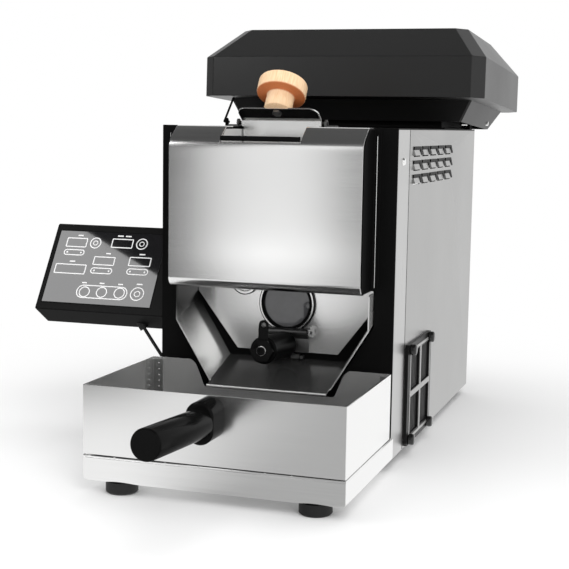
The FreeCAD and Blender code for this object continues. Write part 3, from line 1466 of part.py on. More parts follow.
def fan_frame():
    """Square fan frame with a spider that carries the rotor's pin."""
    half = FAN_SIZE / 2.0
    x0 = FAN_FACE_X - FAN_DEPTH
    z = up(FAN_Z)
    frame = block(x0, FAN_FACE_X, FAN_Y - half, FAN_Y + half, z - half, z + half)
    frame = chamfered(frame, FAN_CORNER, lambda b: b.XLength > FAN_DEPTH - SEAT)
    frame = frame.cut(rod_x(FAN_BORE, x0 - PAST, FAN_FACE_X + PAST, FAN_Y, z))
    web = x0 + FAN_WEB
    reach = FAN_BORE + PAST
    pieces = [
        frame,
        rod_x(FAN_HUB, x0, web, FAN_Y, z),
        rod_x(FAN_PIN_RADIUS, x0, FAN_FACE_X - FAN_PIN_SHORT, FAN_Y, z),
    ]
    for turn in (45, 135):
        arm = block(x0, web, FAN_Y - reach, FAN_Y + reach, z - FAN_ARM / 2, z + FAN_ARM / 2)
        arm.rotate(V(0, FAN_Y, z), V(1, 0, 0), turn)
        pieces.append(arm)
    return joined(pieces)


def fan_rotor():
    z = up(FAN_Z)
    x0 = FAN_FACE_X - FAN_DEPTH + FAN_WEB + PAST
    x1 = FAN_FACE_X - FAN_WEB
    margin = FAN_BLADE + PAST
    root = z + FAN_HUB - FAN_BLADE
    tip = z + FAN_BORE - FAN_BLADE
    half = FAN_BLADE / 2
    pieces = [rod_x(FAN_HUB, x0, x1, FAN_Y, z)]
    for number in range(FAN_BLADES):
        blade = block(x0 + margin, x1 - margin, FAN_Y - half, FAN_Y + half, root, tip)
        blade.rotate(V((x0 + x1) / 2, FAN_Y, z), V(0, 0, 1), FAN_PITCH)
        blade.rotate(V(0, FAN_Y, z), V(1, 0, 0), 360.0 / FAN_BLADES * number)
        pieces.append(blade)
    bore_end = FAN_FACE_X - FAN_PIN_SHORT + FIT
    return joined(pieces).cut(rod_x(FAN_PIN_RADIUS + RUN, x0 - PAST, bore_end, FAN_Y, z))


# ------------------------------------------------------------------ mains inlet and switch


def socket(z, width, height, rim):
    """Box let into the rear panel, open to the back, with a rim outside."""
    half_width = width / 2
    half_height = height / 2
    left = INLET_X - half_width
    right = INLET_X + half_width
    low = up(z) - half_height
    high = up(z) + half_height
    front = BODY_DEPTH - INLET_DEPTH
    flange = block(left - rim, right + rim, BODY_DEPTH, BODY_DEPTH + PLATE, low - rim, high + rim)
    body = block(left, right, front, BODY_DEPTH, low, high)
    pocket = block(
        left + PLATE,
        right - PLATE,
        front + PLATE,
        BODY_DEPTH + PLATE + PAST,
        low + PLATE,
        high - PLATE,
    )
    return joined([flange, body]).cut(pocket)


def mains_inlet():
    """Appliance inlet: flange outside, body inside, pocket with three blades."""
    shell = socket(
        INLET_Z, INLET_WIDTH - SOCKET_RIM * 2, INLET_HEIGHT - SOCKET_RIM * 2, SOCKET_RIM
    )
    half = BLADE_THICK / 2
    root = BODY_DEPTH - INLET_DEPTH + PLATE / 2
    tip = BODY_DEPTH - BLADE_SHORT
    pieces = [shell]
    places = ((-BLADE_SPREAD, -BLADE_RISE), (0, BLADE_RISE), (BLADE_SPREAD, -BLADE_RISE))
    for offset, rise in places:
        x = INLET_X + offset
        low = up(INLET_Z) + rise - BLADE_HEIGHT / 2
        pieces.append(block(x - half, x + half, root, tip, low, low + BLADE_HEIGHT))
    return joined(pieces)


def switch_frame():
    """Frame of the rocker switch with a pin across its pocket."""
    shell = socket(SWITCH_Z, SWITCH_WIDTH, SWITCH_HEIGHT, SWITCH_BORDER)
    half = SWITCH_WIDTH / 2 - PLATE / 2
    pin_y = BODY_DEPTH - SWITCH_PIN_IN
    pin = rod_x(FAN_PIN_RADIUS, INLET_X - half, INLET_X + half, pin_y, up(SWITCH_Z))
    return joined([shell, pin])


def switch_rocker():
    """Rocker on its pin, tipped to the side that is off."""
    z = up(SWITCH_Z)
    half_width = SWITCH_WIDTH / 2 - PLATE - FIT
    half_height = SWITCH_HEIGHT / 2 - PLATE - FIT * 4
    pin_y = BODY_DEPTH - SWITCH_PIN_IN
    face_y = BODY_DEPTH + PLATE
    inner_y = pin_y - ROCKER_DEPTH
    inner_half = half_height - ROCKER_TAPER
    outline = [
        (inner_y, z - inner_half),
        (face_y + ROCKER_HORN, z - half_height),
        (face_y, z),
        (face_y + ROCKER_HORN, z + half_height),
        (inner_y, z + inner_half),
    ]
    rocker = prism_yz(outline, INLET_X - half_width, INLET_X + half_width)
    reach = half_width + PAST
    bore = rod_x(FAN_PIN_RADIUS + RUN, INLET_X - reach, INLET_X + reach, pin_y, z)
    rocker = rocker.cut(bore)
    rocker.rotate(V(0, pin_y, z), V(1, 0, 0), SWITCH_TILT)
    return rocker


# ------------------------------------------------------------------ control panel


def panel_point(x, y, z):
    """A point of the panel's own frame, in the frame of the roaster.

    There x runs to the right from the panel's left edge, z up its face and y
    back from the face.
    """
    turned = FreeCAD.Rotation(V(1, 0, 0), -CONTROL_TILT).multVec(V(x, y, z))
    return turned + V(-HALF - CONTROL_WIDTH, 0, up(CONTROL_BOTTOM_Z))


def panel_place(shape):
    """Place a shape drawn in the panel's own frame."""
    placed = shape.copy()
    placed.rotate(V(0, 0, 0), V(1, 0, 0), -CONTROL_TILT)
    placed.translate(panel_point(0, 0, 0))
    return placed


def control_case():
    """Flat housing of the controls, with a pocket for its glass."""
    case = block(0, CONTROL_WIDTH, 0, CONTROL_THICK, 0, CONTROL_HEIGHT)
    case = rounded(case, CONTROL_ROUND, lambda b: b.XMax < CONTROL_WIDTH - SEAT)
    pocket = block(
        SCREEN_LEFT - SEAT,
        SCREEN_LEFT + SCREEN_WIDTH + SEAT,
        -PAST,
        SCREEN_THICK,
        SCREEN_BOTTOM - SEAT,
        SCREEN_BOTTOM + SCREEN_HEIGHT + SEAT,
    )
    return panel_place(case.cut(pocket))


def control_glass():
    right = SCREEN_LEFT + SCREEN_WIDTH
    top = SCREEN_BOTTOM + SCREEN_HEIGHT
    return panel_place(block(SCREEN_LEFT, right, 0, SCREEN_THICK, SCREEN_BOTTOM, top))


def panel_arm():
    """Angle bracket behind the controls: one leg on the case, one on the body."""
    back = CONTROL_THICK
    right = CONTROL_WIDTH
    top = ARM_BOTTOM + ARM_HEIGHT
    leg = block(right - ARM_LEG, right, back, back + PLATE, ARM_BOTTOM, top)
    side = block(right - PLATE, right, back, back + ARM_DEPTH, ARM_BOTTOM, top)
    return panel_place(joined([leg, side]))


def lead_route():
    """Corners of the lead's run from the case down to the body's side."""
    start = panel_point(LEAD_START_RIGHT, LEAD_START_BACK, 0)
    first = start + V(LEAD_RIGHT, LEAD_BACK, -LEAD_DOWN)
    run = (first - start).normalize()
    end = V(-HALF - GLAND_LENGTH, GLAND_Y, up(GLAND_Z))
    return [start + run * LEAD_COVERED, first, end - V(LEAD_END, 0, 0), end]


def lead_radii(corners):
    """The largest arc that each corner's two runs allow."""
    radii = []
    for before, corner, after in zip(corners, corners[1:], corners[2:]):
        back = before - corner
        ahead = after - corner
        turn = math.pi - back.getAngle(ahead)
        radii.append(0.45 * min(back.Length, ahead.Length) / math.tan(turn / 2.0))
    return radii


def panel_lead():
    """Lead of the controls: straight runs joined by tangent arcs."""
    corners = lead_route()
    lead, length = bent_rod(LEAD_RADIUS, corners, lead_radii(corners))
    expected = math.pi * LEAD_RADIUS ** 2 * length
    print("lead length", round(length, 1), "volume ratio", round(lead.Volume / expected, 4))
    return lead


def lead_glands():
    """One grommet under the case and one on the body's side."""
    corners = lead_route()
    run = (corners[1] - corners[0]).normalize()
    upper = rod_between(GLAND_RADIUS, corners[0] - run * (GLAND_LENGTH * 3), corners[0])
    case = block(0, CONTROL_WIDTH, -PAST, CONTROL_THICK * 2, 0, CONTROL_HEIGHT)
    lower = rod_between(GLAND_RADIUS, corners[-1], corners[-1] + V(GLAND_LENGTH, 0, 0))
    return Part.makeCompound([upper.cut(panel_place(case)), lower])


# ------------------------------------------------------------------ hood


def tilted(shape):
    """Raise the front of the closed hood to where its stay holds it."""
    turned = shape.copy()
    turned.rotate(V(0, PIVOT_Y, up(PIVOT_Z)), V(1, 0, 0), -HOOD_PROPPED)
    return turned


def hood_form(inset, low):
    """Band and sloping top of the hood as one solid, inset by a sheet."""
    band_top = up(HOOD_RIM_Z + HOOD_BAND)
    half = HOOD_HALF - inset
    front = HOOD_FRONT_Y + inset
    back = HOOD_BACK_Y - inset
    top_half = HOOD_HALF - HOOD_SIDE_SLOPE - inset / 2
    top_front = HOOD_FRONT_Y + HOOD_END_SLOPE + inset / 2
    top_back = HOOD_BACK_Y - HOOD_END_SLOPE - inset / 2
    return stack(
        [
            octagon(half, front, back, HOOD_CORNER, low),
            octagon(half, front, back, HOOD_CORNER, band_top - inset / 2),
            octagon(top_half, top_front, top_back, HOOD_TOP_CORNER, band_top + HOOD_RISE - inset),
        ]
    )


def neck_top(inset, z):
    """Corners of the neck's upper end, inset and at a height."""
    front = NECK_TOP_FRONT_Y + inset
    back = NECK_TOP_BACK_Y - inset
    return octagon(NECK_TOP_HALF - inset, front, back, NECK_CORNER, z)


def neck_form(inset):
    front = NECK_FRONT_Y + inset
    back = NECK_BACK_Y - inset
    bottom = octagon(NECK_HALF - inset, front, back, NECK_CORNER, up(NECK_BOTTOM_Z))
    return stack([bottom, neck_top(inset, up(HOOD_RIM_Z))])


def hood_shell():
    """Folded hood: upright band, four sloping sides, flat top, rim turned in."""
    low = up(HOOD_RIM_Z)
    shell = hood_form(0, low).cut(hood_form(HOOD_SHEET, low + HOOD_SHEET))
    opening = stack([neck_top(SHEET, low - PAST), neck_top(SHEET, low + HOOD_SHEET + PAST)])
    return tilted(shell.cut(opening))


def hood_neck():
    """Flared neck under the hood, pierced for the hinge rod."""
    neck = neck_form(0).cut(neck_form(SHEET))
    reach = NECK_TOP_HALF + PAST
    hole = rod_x(HOOD_ROD_RADIUS + SEAT, -reach, reach, PIVOT_Y, up(PIVOT_Z))
    return tilted(neck.cut(hole))


def hood_rod():
    rise = (PIVOT_Z - NECK_BOTTOM_Z) / (HOOD_RIM_Z - NECK_BOTTOM_Z)
    half = NECK_HALF + (NECK_TOP_HALF - NECK_HALF) * rise + HOOD_ROD_PROUD
    return rod_x(HOOD_ROD_RADIUS, -half, half, PIVOT_Y, up(PIVOT_Z))


def chaff_screen():
    """Slotted sheet that lies on the hood's turned-in rim and holds the chaff up."""
    low = up(HOOD_RIM_Z) + HOOD_SHEET
    half = NECK_TOP_HALF + CHAFF_OVERLAP
    front = NECK_TOP_FRONT_Y - CHAFF_OVERLAP
    back = NECK_TOP_BACK_Y + CHAFF_OVERLAP
    sheet = block(-half, half, front, back, low, low + SHEET)
    slot_half = NECK_TOP_HALF - CHAFF_BORDER
    pitch = (NECK_TOP_BACK_Y - NECK_TOP_FRONT_Y) / CHAFF_SLOTS
    slots = []
    for number in range(CHAFF_SLOTS):
        y = NECK_TOP_FRONT_Y + pitch * (number + 0.5) - CHAFF_SLOT / 2
        slots.append(block(-slot_half, slot_half, y, y + CHAFF_SLOT, low - PAST, low + SHEET + PAST))
    return tilted(sheet.cut(slots))


def exhaust_collar():
    """Upstand on the deck round the exhaust opening."""
    deck = up(BODY_HEIGHT)
    high = deck + COLLAR_HEIGHT
    wide = COLLAR_HALF + COLLAR_FLANGE
    flange_front = COLLAR_FRONT_Y - COLLAR_FLANGE
    flange_back = COLLAR_BACK_Y + COLLAR_FLANGE
    flange = block(-wide, wide, flange_front, flange_back, deck, deck + SHEET)
    wall = block(-COLLAR_HALF, COLLAR_HALF, COLLAR_FRONT_Y, COLLAR_BACK_Y, deck, high)
    return joined([flange, wall]).cut(exhaust_hole(deck - PAST, high + PAST))


def hood_hinge_bracket():
    """Strip on the rear of the deck with an ear at each end for the rod."""
    deck = up(BODY_HEIGHT)
    pin_z = up(PIVOT_Z)
    outer = HALF - HOOD_EAR_INSET
    inner = outer - HOOD_EAR
    front = COLLAR_BACK_Y + COLLAR_FLANGE + PLATE
    strip = block(-outer, outer, front, BODY_DEPTH, deck, deck + PLATE)
    plate = block(inner, outer, front, PIVOT_Y, deck, pin_z + HOOD_EAR_RADIUS)
    tip = rod_x(HOOD_EAR_RADIUS, inner, outer, PIVOT_Y, pin_z)
    ear = joined([plate, tip])
    reach = outer + PAST
    bore = rod_x(HOOD_ROD_RADIUS + RUN, -reach, reach, PIVOT_Y, pin_z)
    return joined([strip, ear, mirrored(ear)]).cut(bore)


def rim_underside_z(y):
    """Underside of the propped hood's rim above a place on the deck."""
    angle = math.radians(HOOD_PROPPED)
    rise = HOOD_RIM_Z - PIVOT_Z
    run = (y - PIVOT_Y - rise * math.sin(angle)) / math.cos(angle)
    return up(PIVOT_Z) - run * math.sin(angle) + rise * math.cos(angle)


def hood_stay():
    """One bent wire: foot pin in the deck's ear, and a leg up to the hood's rim."""
    z = up(BODY_HEIGHT + STAY_RISE)
    inner = V(STAY_EAR_X + SHEET + STAY_PIN_PAST, STAY_FOOT_Y, z)
    knee = V(STAY_EAR_X - STAY_PIN_OUT, STAY_FOOT_Y, z)
    tip = V(STAY_TIP_X, STAY_TIP_Y, rim_underside_z(STAY_TIP_Y) - STAY_RADIUS - FIT)
    stay, _ = bent_rod(STAY_RADIUS, [inner, knee, tip], [STAY_BEND])
    return stay


# ------------------------------------------------------------------ export

PIECES = [
    base_box,
    rubber_feet,
    body_floor,
    front_plate,
    corner_strips,
    panel_screws,
    side_panel_left,
    side_panel_right,
    rear_panel,
    top_deck,
    face_plate,
    sight_glass_ring,
    sight_glass,
    port_cap,
    chute,
    door_stop,
    front_cover,
    cover_cheeks,
    inlet_funnel,
    flap_brackets,
    flap_pin,
    inlet_flap,
    wooden_knob,
    knob_screw,
    discharge_flap,
    door_pin,
    discharge_grip,
    grip_cap,
    latch_arm,
    bean_tray,
    tray_floor,
    handle_mount,
    handle_bar,
    handle_screws,
    drum_housing,
    heater,
    drum,
    drum_shaft,
    drum_bush,
    drum_motor,
    filter_frame,
    filter_mesh,
    filter_screws,
    fan_frame,
    fan_rotor,
    mains_inlet,
    switch_frame,
    switch_rocker,
    control_case,
    control_glass,
    panel_arm,
    panel_lead,
    lead_glands,
    exhaust_collar,
    hood_hinge_bracket,
    hood_shell,
    hood_neck,
    hood_rod,
    chaff_screen,
    hood_stay,
]

os.makedirs("parts", exist_ok=True)
for piece in PIECES:
    shape = piece()
    if not shape.isValid():
        print("not valid:", piece.__name__)
    shape.exportStep("parts/" + piece.__name__ + ".step")
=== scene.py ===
import math

import bmesh
import bpy
from mathutils import Matrix, Vector


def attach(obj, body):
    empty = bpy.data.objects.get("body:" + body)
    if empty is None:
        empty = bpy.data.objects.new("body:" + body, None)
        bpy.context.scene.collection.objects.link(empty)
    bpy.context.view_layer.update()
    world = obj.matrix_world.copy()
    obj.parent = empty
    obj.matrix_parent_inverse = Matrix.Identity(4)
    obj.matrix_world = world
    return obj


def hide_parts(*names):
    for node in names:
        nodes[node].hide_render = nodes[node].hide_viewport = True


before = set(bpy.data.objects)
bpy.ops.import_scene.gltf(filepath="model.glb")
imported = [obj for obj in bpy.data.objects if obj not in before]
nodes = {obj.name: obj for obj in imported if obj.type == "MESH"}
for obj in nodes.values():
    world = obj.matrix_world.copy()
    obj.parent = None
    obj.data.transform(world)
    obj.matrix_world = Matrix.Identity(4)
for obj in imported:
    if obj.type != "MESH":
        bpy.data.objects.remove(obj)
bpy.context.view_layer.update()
scene = bpy.context.scene
scene.view_settings.view_transform = "Standard"

# ---------------------------------------------------------------- camera
# A long lens a little above the top deck, to the right of the machine and
# turned left, so that the front and the right side both show.
CAMERA_PLACE = Vector((0.36445, -1.08192, 0.30304))
CAMERA_YAW = math.radians(18.182)
CAMERA_PITCH = math.radians(7.033)
CAMERA_ROLL = math.radians(-0.922)
CAMERA_LENS = 81.01

ahead = Vector(
    (
        -math.sin(CAMERA_YAW) * math.cos(CAMERA_PITCH),
        math.cos(CAMERA_YAW) * math.cos(CAMERA_PITCH),
        -math.sin(CAMERA_PITCH),
    )
)
level = Vector((math.cos(CAMERA_YAW), math.sin(CAMERA_YAW), 0.0))
upright = level.cross(ahead)
right = level * math.cos(CAMERA_ROLL) - upright * math.sin(CAMERA_ROLL)
top = level * math.sin(CAMERA_ROLL) + upright * math.cos(CAMERA_ROLL)
camera_data = bpy.data.cameras.new("camera")
camera_data.lens = CAMERA_LENS
camera_data.sensor_width = 36.0
camera_data.clip_start = 0.01
camera_data.clip_end = 50.0
camera = bpy.data.objects.new("camera", camera_data)
camera.matrix_world = Matrix.Translation(CAMERA_PLACE) @ Matrix((right, top, -ahead)).transposed().to_4x4()
scene.collection.objects.link(camera)
scene.camera = camera

# ---------------------------------------------------------------- studio
# A round white floor that fades into a white surround under soft lamps. Gloss
# sees it pale behind the machine, and dim overhead and far to the left.
FLOOR_RADIUS = 2.4
FLOOR_COLOUR = (0.87, 0.87, 0.87, 1.0)
FLOOR_FADE = (0.36, 0.85)       # metres from the middle, plain white past the second
WORLD_LIGHT = 0.80              # on matt surfaces
# What gloss sees in each direction, as levels from 0 to 1.
LEFT_LIGHT = 0.05               # in front, far to the left
FRONT_LIGHT = 0.36
BACK_LIGHT = 1.0                # behind, and to the right
LEFT_BACK_LIGHT = 0.30
OVERHEAD_LIGHT = 0.07
SPOT_LIGHT = 0.90               # bright stretch of floor under the strip lamp
NEAR_LEFT_LIGHT = 0.95          # floor just in front
NEAR_RIGHT_LIGHT = 0.44
# Where one level turns into the next: parts of a unit direction, or metres.
LEFT_TO_FRONT = (-0.50, -0.12)
SPOT_RIGHT_EDGE = (-0.12, -0.28)
SPOT_LEFT_EDGE = (-0.34, -0.46)
SPOT_END = (1.35, 1.75)
NEAR_LEFT_TO_RIGHT = (-0.50, 0.08)
NEAR_END = (0.45, 0.75)
FRONT_TO_RIGHT_AIR = (0.12, 0.36)
FRONT_TO_RIGHT_FLOOR = (0.52, 0.75)
LEFT_BACK_TO_BACK = (-0.75, -0.30)
FRONT_TO_BACK = (-0.35, 0.25)
TO_OVERHEAD = (0.54, 0.88)


def new_nodes(material):
    """Empty node tree of a material, with its output."""
    material.use_nodes = True
    tree = material.node_tree
    tree.nodes.clear()
    output = tree.nodes.new("ShaderNodeOutputMaterial")
    return tree, output


def ramp_of(tree, value, low, high, start=0.0, end=1.0):
    """Smooth step of a value from one number to another."""
    step = tree.nodes.new("ShaderNodeMapRange")
    step.interpolation_type = "SMOOTHSTEP"
    step.inputs["From Min"].default_value = low
    step.inputs["From Max"].default_value = high
    step.inputs["To Min"].default_value = start
    step.inputs["To Max"].default_value = end
    tree.links.new(value, step.inputs["Value"])
    return step.outputs["Result"]


def seen_directly(tree):
    """1 for camera, glossy and transmitted rays, 0 for light on matt surfaces."""
    path = tree.nodes.new("ShaderNodeLightPath")
    total = path.outputs["Is Camera Ray"]
    for kind in ("Is Glossy Ray", "Is Transmission Ray"):
        both = tree.nodes.new("ShaderNodeMath")
        both.operation = "MAXIMUM"
        tree.links.new(total, both.inputs[0])
        tree.links.new(path.outputs[kind], both.inputs[1])
        total = both.outputs["Value"]
    return path, total


def mixed(tree, factor, first, second):
    """Mix of two levels, each a socket or a number."""
    blend = tree.nodes.new("ShaderNodeMix")
    blend.data_type = "FLOAT"
    tree.links.new(factor, blend.inputs["Factor"])
    for value, socket in ((first, blend.inputs["A"]), (second, blend.inputs["B"])):
        if isinstance(value, float):
            socket.default_value = value
        else:
            tree.links.new(value, socket)
    return blend.outputs["Result"]


def surround_level(tree, direction, distance=None):
    """Level that gloss sees in a direction, of the air, or of the floor at a distance."""
    parts = tree.nodes.new("ShaderNodeSeparateXYZ")
    tree.links.new(direction, parts.inputs["Vector"])
    across = parts.outputs["X"]
    level = ramp_of(tree, across, *LEFT_TO_FRONT, LEFT_LIGHT, FRONT_LIGHT)
    if distance is not None:
        bright = mixed(tree, ramp_of(tree, across, *SPOT_RIGHT_EDGE), level, SPOT_LIGHT)
        bright = mixed(tree, ramp_of(tree, across, *SPOT_LEFT_EDGE), bright, LEFT_LIGHT)
        bright = mixed(tree, ramp_of(tree, distance, *SPOT_END), bright, level)
        near = ramp_of(tree, across, *NEAR_LEFT_TO_RIGHT, NEAR_LEFT_LIGHT, NEAR_RIGHT_LIGHT)
        level = mixed(tree, ramp_of(tree, distance, *NEAR_END), near, bright)
    turning = FRONT_TO_RIGHT_AIR if distance is None else FRONT_TO_RIGHT_FLOOR
    level = mixed(tree, ramp_of(tree, across, *turning), level, BACK_LIGHT)
    behind = ramp_of(tree, across, *LEFT_BACK_TO_BACK, LEFT_BACK_LIGHT, BACK_LIGHT)
    level = mixed(tree, ramp_of(tree, parts.outputs["Y"], *FRONT_TO_BACK), level, behind)
    return mixed(tree, ramp_of(tree, parts.outputs["Z"], *TO_OVERHEAD), level, OVERHEAD_LIGHT)


def plain_object(name, mesh, smooth_angle=None):
    """Object at the origin, smooth but for edges sharper than the angle."""
    piece = bpy.data.objects.new(name, mesh)
    scene.collection.objects.link(piece)
    if smooth_angle is not None:
        mesh.shade_smooth()
        mesh.set_sharp_from_angle(angle=math.radians(smooth_angle))
    return piece


floor_bm = bmesh.new()
bmesh.ops.create_circle(floor_bm, cap_ends=True, segments=96, radius=FLOOR_RADIUS)
floor_mesh = bpy.data.meshes.new("studio_floor")
floor_bm.to_mesh(floor_mesh)
floor_bm.free()
floor = plain_object("studio_floor", floor_mesh)

floor_material = bpy.data.materials.new("studio_white")
tree, output = new_nodes(floor_material)
matt = tree.nodes.new("ShaderNodeBsdfDiffuse")
matt.inputs["Color"].default_value = FLOOR_COLOUR
place = tree.nodes.new("ShaderNodeTexCoord")
length = tree.nodes.new("ShaderNodeVectorMath")
length.operation = "LENGTH"
tree.links.new(place.outputs["Object"], length.inputs[0])
faded = ramp_of(tree, length.outputs["Value"], *FLOOR_FADE)
heading = tree.nodes.new("ShaderNodeVectorMath")
heading.operation = "NORMALIZE"
tree.links.new(place.outputs["Object"], heading.inputs[0])
path, seen = seen_directly(tree)
is_camera = path.outputs["Is Camera Ray"]
gloss_level = surround_level(tree, heading.outputs["Vector"], length.outputs["Value"])
far_level = mixed(tree, is_camera, gloss_level, 1.0)
glow = tree.nodes.new("ShaderNodeEmission")
tree.links.new(far_level, glow.inputs["Strength"])
amount = tree.nodes.new("ShaderNodeMath")
amount.operation = "MULTIPLY"
tree.links.new(mixed(tree, is_camera, 1.0, faded), amount.inputs[0])
tree.links.new(seen, amount.inputs[1])
chosen = tree.nodes.new("ShaderNodeMixShader")
tree.links.new(amount.outputs["Value"], chosen.inputs["Fac"])
tree.links.new(matt.outputs["BSDF"], chosen.inputs[1])
tree.links.new(glow.outputs["Emission"], chosen.inputs[2])
tree.links.new(chosen.outputs["Shader"], output.inputs["Surface"])
floor_mesh.materials.append(floor_material)

world = bpy.data.worlds.new("studio")
scene.world = world
world.use_nodes = True
tree = world.node_tree
tree.nodes.clear()
output = tree.nodes.new("ShaderNodeOutputWorld")
place = tree.nodes.new("ShaderNodeTexCoord")
path, seen = seen_directly(tree)
gloss_level = surround_level(tree, place.outputs["Generated"])
gloss_level = mixed(tree, path.outputs["Is Camera Ray"], gloss_level, 1.0)
air = tree.nodes.new("ShaderNodeBackground")
tree.links.new(mixed(tree, seen, WORLD_LIGHT, gloss_level), air.inputs["Strength"])
air.inputs["Color"].default_value = (1.0, 1.0, 1.0, 1.0)
tree.links.new(air.outputs["Background"], output.inputs["Surface"])

BODY_MIDDLE = (0.0, 0.0, 0.2)
BODY_TOP = (0.0, 0.0, 0.5)
PANEL_MIDDLE = (-0.196, 0.024, 0.163)
# name, place, aim, width, height, watts, degrees turned, in gloss, on matt
LAMPS = (
    ("key_lamp", (1.00, -1.45, 1.55), BODY_MIDDLE, 1.1, 1.1, 15.0, 0.0, False, True),
    ("side_lamp", (-1.7, -0.6, 1.3), BODY_MIDDLE, 1.3, 1.3, 8.0, 0.0, False, True),
    ("top_lamp", (0.1, 0.3, 2.2), BODY_MIDDLE, 1.6, 1.6, 12.0, 0.0, False, True),
    ("low_lamp", (0.95, -1.15, 0.30), BODY_MIDDLE, 0.5, 0.4, 3.0, 0.0, False, True),
    ("strip_lamp", (-0.372, -1.12, 0.58), BODY_TOP, 0.24, 1.4, 0.80, 0.0, True, False),
    ("panel_lamp", (-0.389, -0.276, 0.521), PANEL_MIDDLE, 0.27, 0.16, 0.46, -1.4, True, False),
)
for name, spot, aim, width, height, power, turn, in_gloss, on_matt in LAMPS:
    lamp_data = bpy.data.lights.new(name, "AREA")
    lamp_data.shape = "RECTANGLE"
    lamp_data.size = width
    lamp_data.size_y = height
    lamp_data.energy = power
    lamp = bpy.data.objects.new(name, lamp_data)
    facing = (Vector(aim) - Vector(spot)).to_track_quat("-Z", "Y").to_matrix().to_4x4()
    lamp.matrix_world = Matrix.Translation(spot) @ facing @ Matrix.Rotation(math.radians(turn), 4, "Z")
    lamp.visible_glossy = in_gloss
    lamp.visible_diffuse = on_matt
    lamp.visible_camera = False
    scene.collection.objects.link(lamp)

# ---------------------------------------------------------------- base box
# Low plenum of brushed stainless sheet under the tray, its lower edges rolled
# and four small pads pressed up in its top for the tray to run on.


def group_tree(name, inputs, outputs):
    """New shader node group with its inputs and outputs."""
    group = bpy.data.node_groups.new(name, "ShaderNodeTree")
    for title, kind, value in inputs:
        socket = group.interface.new_socket(name=title, in_out="INPUT", socket_type=kind)
        socket.default_value = value
    for title, kind in outputs:
        group.interface.new_socket(name=title, in_out="OUTPUT", socket_type=kind)
    entry = group.nodes.new("NodeGroupInput")
    leave = group.nodes.new("NodeGroupOutput")
    return group, entry, leave


def brushed_group():
    """Fine scratches along one axis: stretch is the scale along X, Y and Z."""
    group, entry, leave = group_tree(
        "brushed_metal",
        (
            ("Stretch", "NodeSocketVector", (10.0, 900.0, 900.0)),
            ("Dark", "NodeSocketColor", (0.4, 0.4, 0.4, 1.0)),
            ("Light", "NodeSocketColor", (0.6, 0.6, 0.6, 1.0)),
            ("Roughness", "NodeSocketFloat", 0.3),
            ("Spread", "NodeSocketFloat", 0.1),
        ),
        (("Colour", "NodeSocketColor"), ("Roughness", "NodeSocketFloat"), ("Height", "NodeSocketFloat")),
    )
    tree = group
    place = tree.nodes.new("ShaderNodeTexCoord")
    scaled = tree.nodes.new("ShaderNodeVectorMath")
    scaled.operation = "MULTIPLY"
    tree.links.new(place.outputs["Object"], scaled.inputs[0])
    tree.links.new(entry.outputs["Stretch"], scaled.inputs[1])
    scratch = tree.nodes.new("ShaderNodeTexNoise")
    scratch.inputs["Scale"].default_value = 1.0
    scratch.inputs["Detail"].default_value = 4.0
    scratch.inputs["Roughness"].default_value = 0.6
    tree.links.new(scaled.outputs["Vector"], scratch.inputs["Vector"])
    cloud = tree.nodes.new("ShaderNodeTexNoise")
    cloud.inputs["Scale"].default_value = 9.0
    cloud.inputs["Detail"].default_value = 3.0
    tree.links.new(place.outputs["Object"], cloud.inputs["Vector"])
    colour = tree.nodes.new("ShaderNodeMix")
    colour.data_type = "RGBA"
    tree.links.new(scratch.outputs["Fac"], colour.inputs["Factor"])
    tree.links.new(entry.outputs["Dark"], colour.inputs["A"])
    tree.links.new(entry.outputs["Light"], colour.inputs["B"])
    both = tree.nodes.new("ShaderNodeMath")
    both.operation = "ADD"
    tree.links.new(scratch.outputs["Fac"], both.inputs[0])
    tree.links.new(cloud.outputs["Fac"], both.inputs[1])
    centred = tree.nodes.new("ShaderNodeMath")
    centred.operation = "SUBTRACT"
    tree.links.new(both.outputs["Value"], centred.inputs[0])
    centred.inputs[1].default_value = 1.0
    rough = tree.nodes.new("ShaderNodeMath")
    rough.operation = "MULTIPLY_ADD"
    tree.links.new(centred.outputs["Value"], rough.inputs[0])
    tree.links.new(entry.outputs["Spread"], rough.inputs[1])
    tree.links.new(entry.outputs["Roughness"], rough.inputs[2])
    tree.links.new(colour.outputs["Result"], leave.inputs["Colour"])
    tree.links.new(rough.outputs["Value"], leave.inputs["Roughness"])
    tree.links.new(scratch.outputs["Fac"], leave.inputs["Height"])
    return group


BRUSHED = brushed_group()
SCRATCH_DEPTH = 0.00004


def brushed_metal(name, stretch, dark, light, roughness, spread, metallic=1.0, bump=0.12):
    """Stainless sheet with its grain along the axis that stretch leaves low."""
    material = bpy.data.materials.new(name)
    tree, output = new_nodes(material)
    grain = tree.nodes.new("ShaderNodeGroup")
    grain.node_tree = BRUSHED
    grain.inputs["Stretch"].default_value = stretch
    grain.inputs["Dark"].default_value = (*dark, 1.0)
    grain.inputs["Light"].default_value = (*light, 1.0)
    grain.inputs["Roughness"].default_value = roughness
    grain.inputs["Spread"].default_value = spread
    relief = tree.nodes.new("ShaderNodeBump")
    relief.inputs["Strength"].default_value = bump
    relief.inputs["Distance"].default_value = SCRATCH_DEPTH
    surface = tree.nodes.new("ShaderNodeBsdfPrincipled")
    surface.inputs["Metallic"].default_value = metallic
    tree.links.new(grain.outputs["Colour"], surface.inputs["Base Color"])
    tree.links.new(grain.outputs["Roughness"], surface.inputs["Roughness"])
    tree.links.new(grain.outputs["Height"], relief.inputs["Height"])
    tree.links.new(relief.outputs["Normal"], surface.inputs["Normal"])
    tree.links.new(surface.outputs["BSDF"], output.inputs["Surface"])
    return material


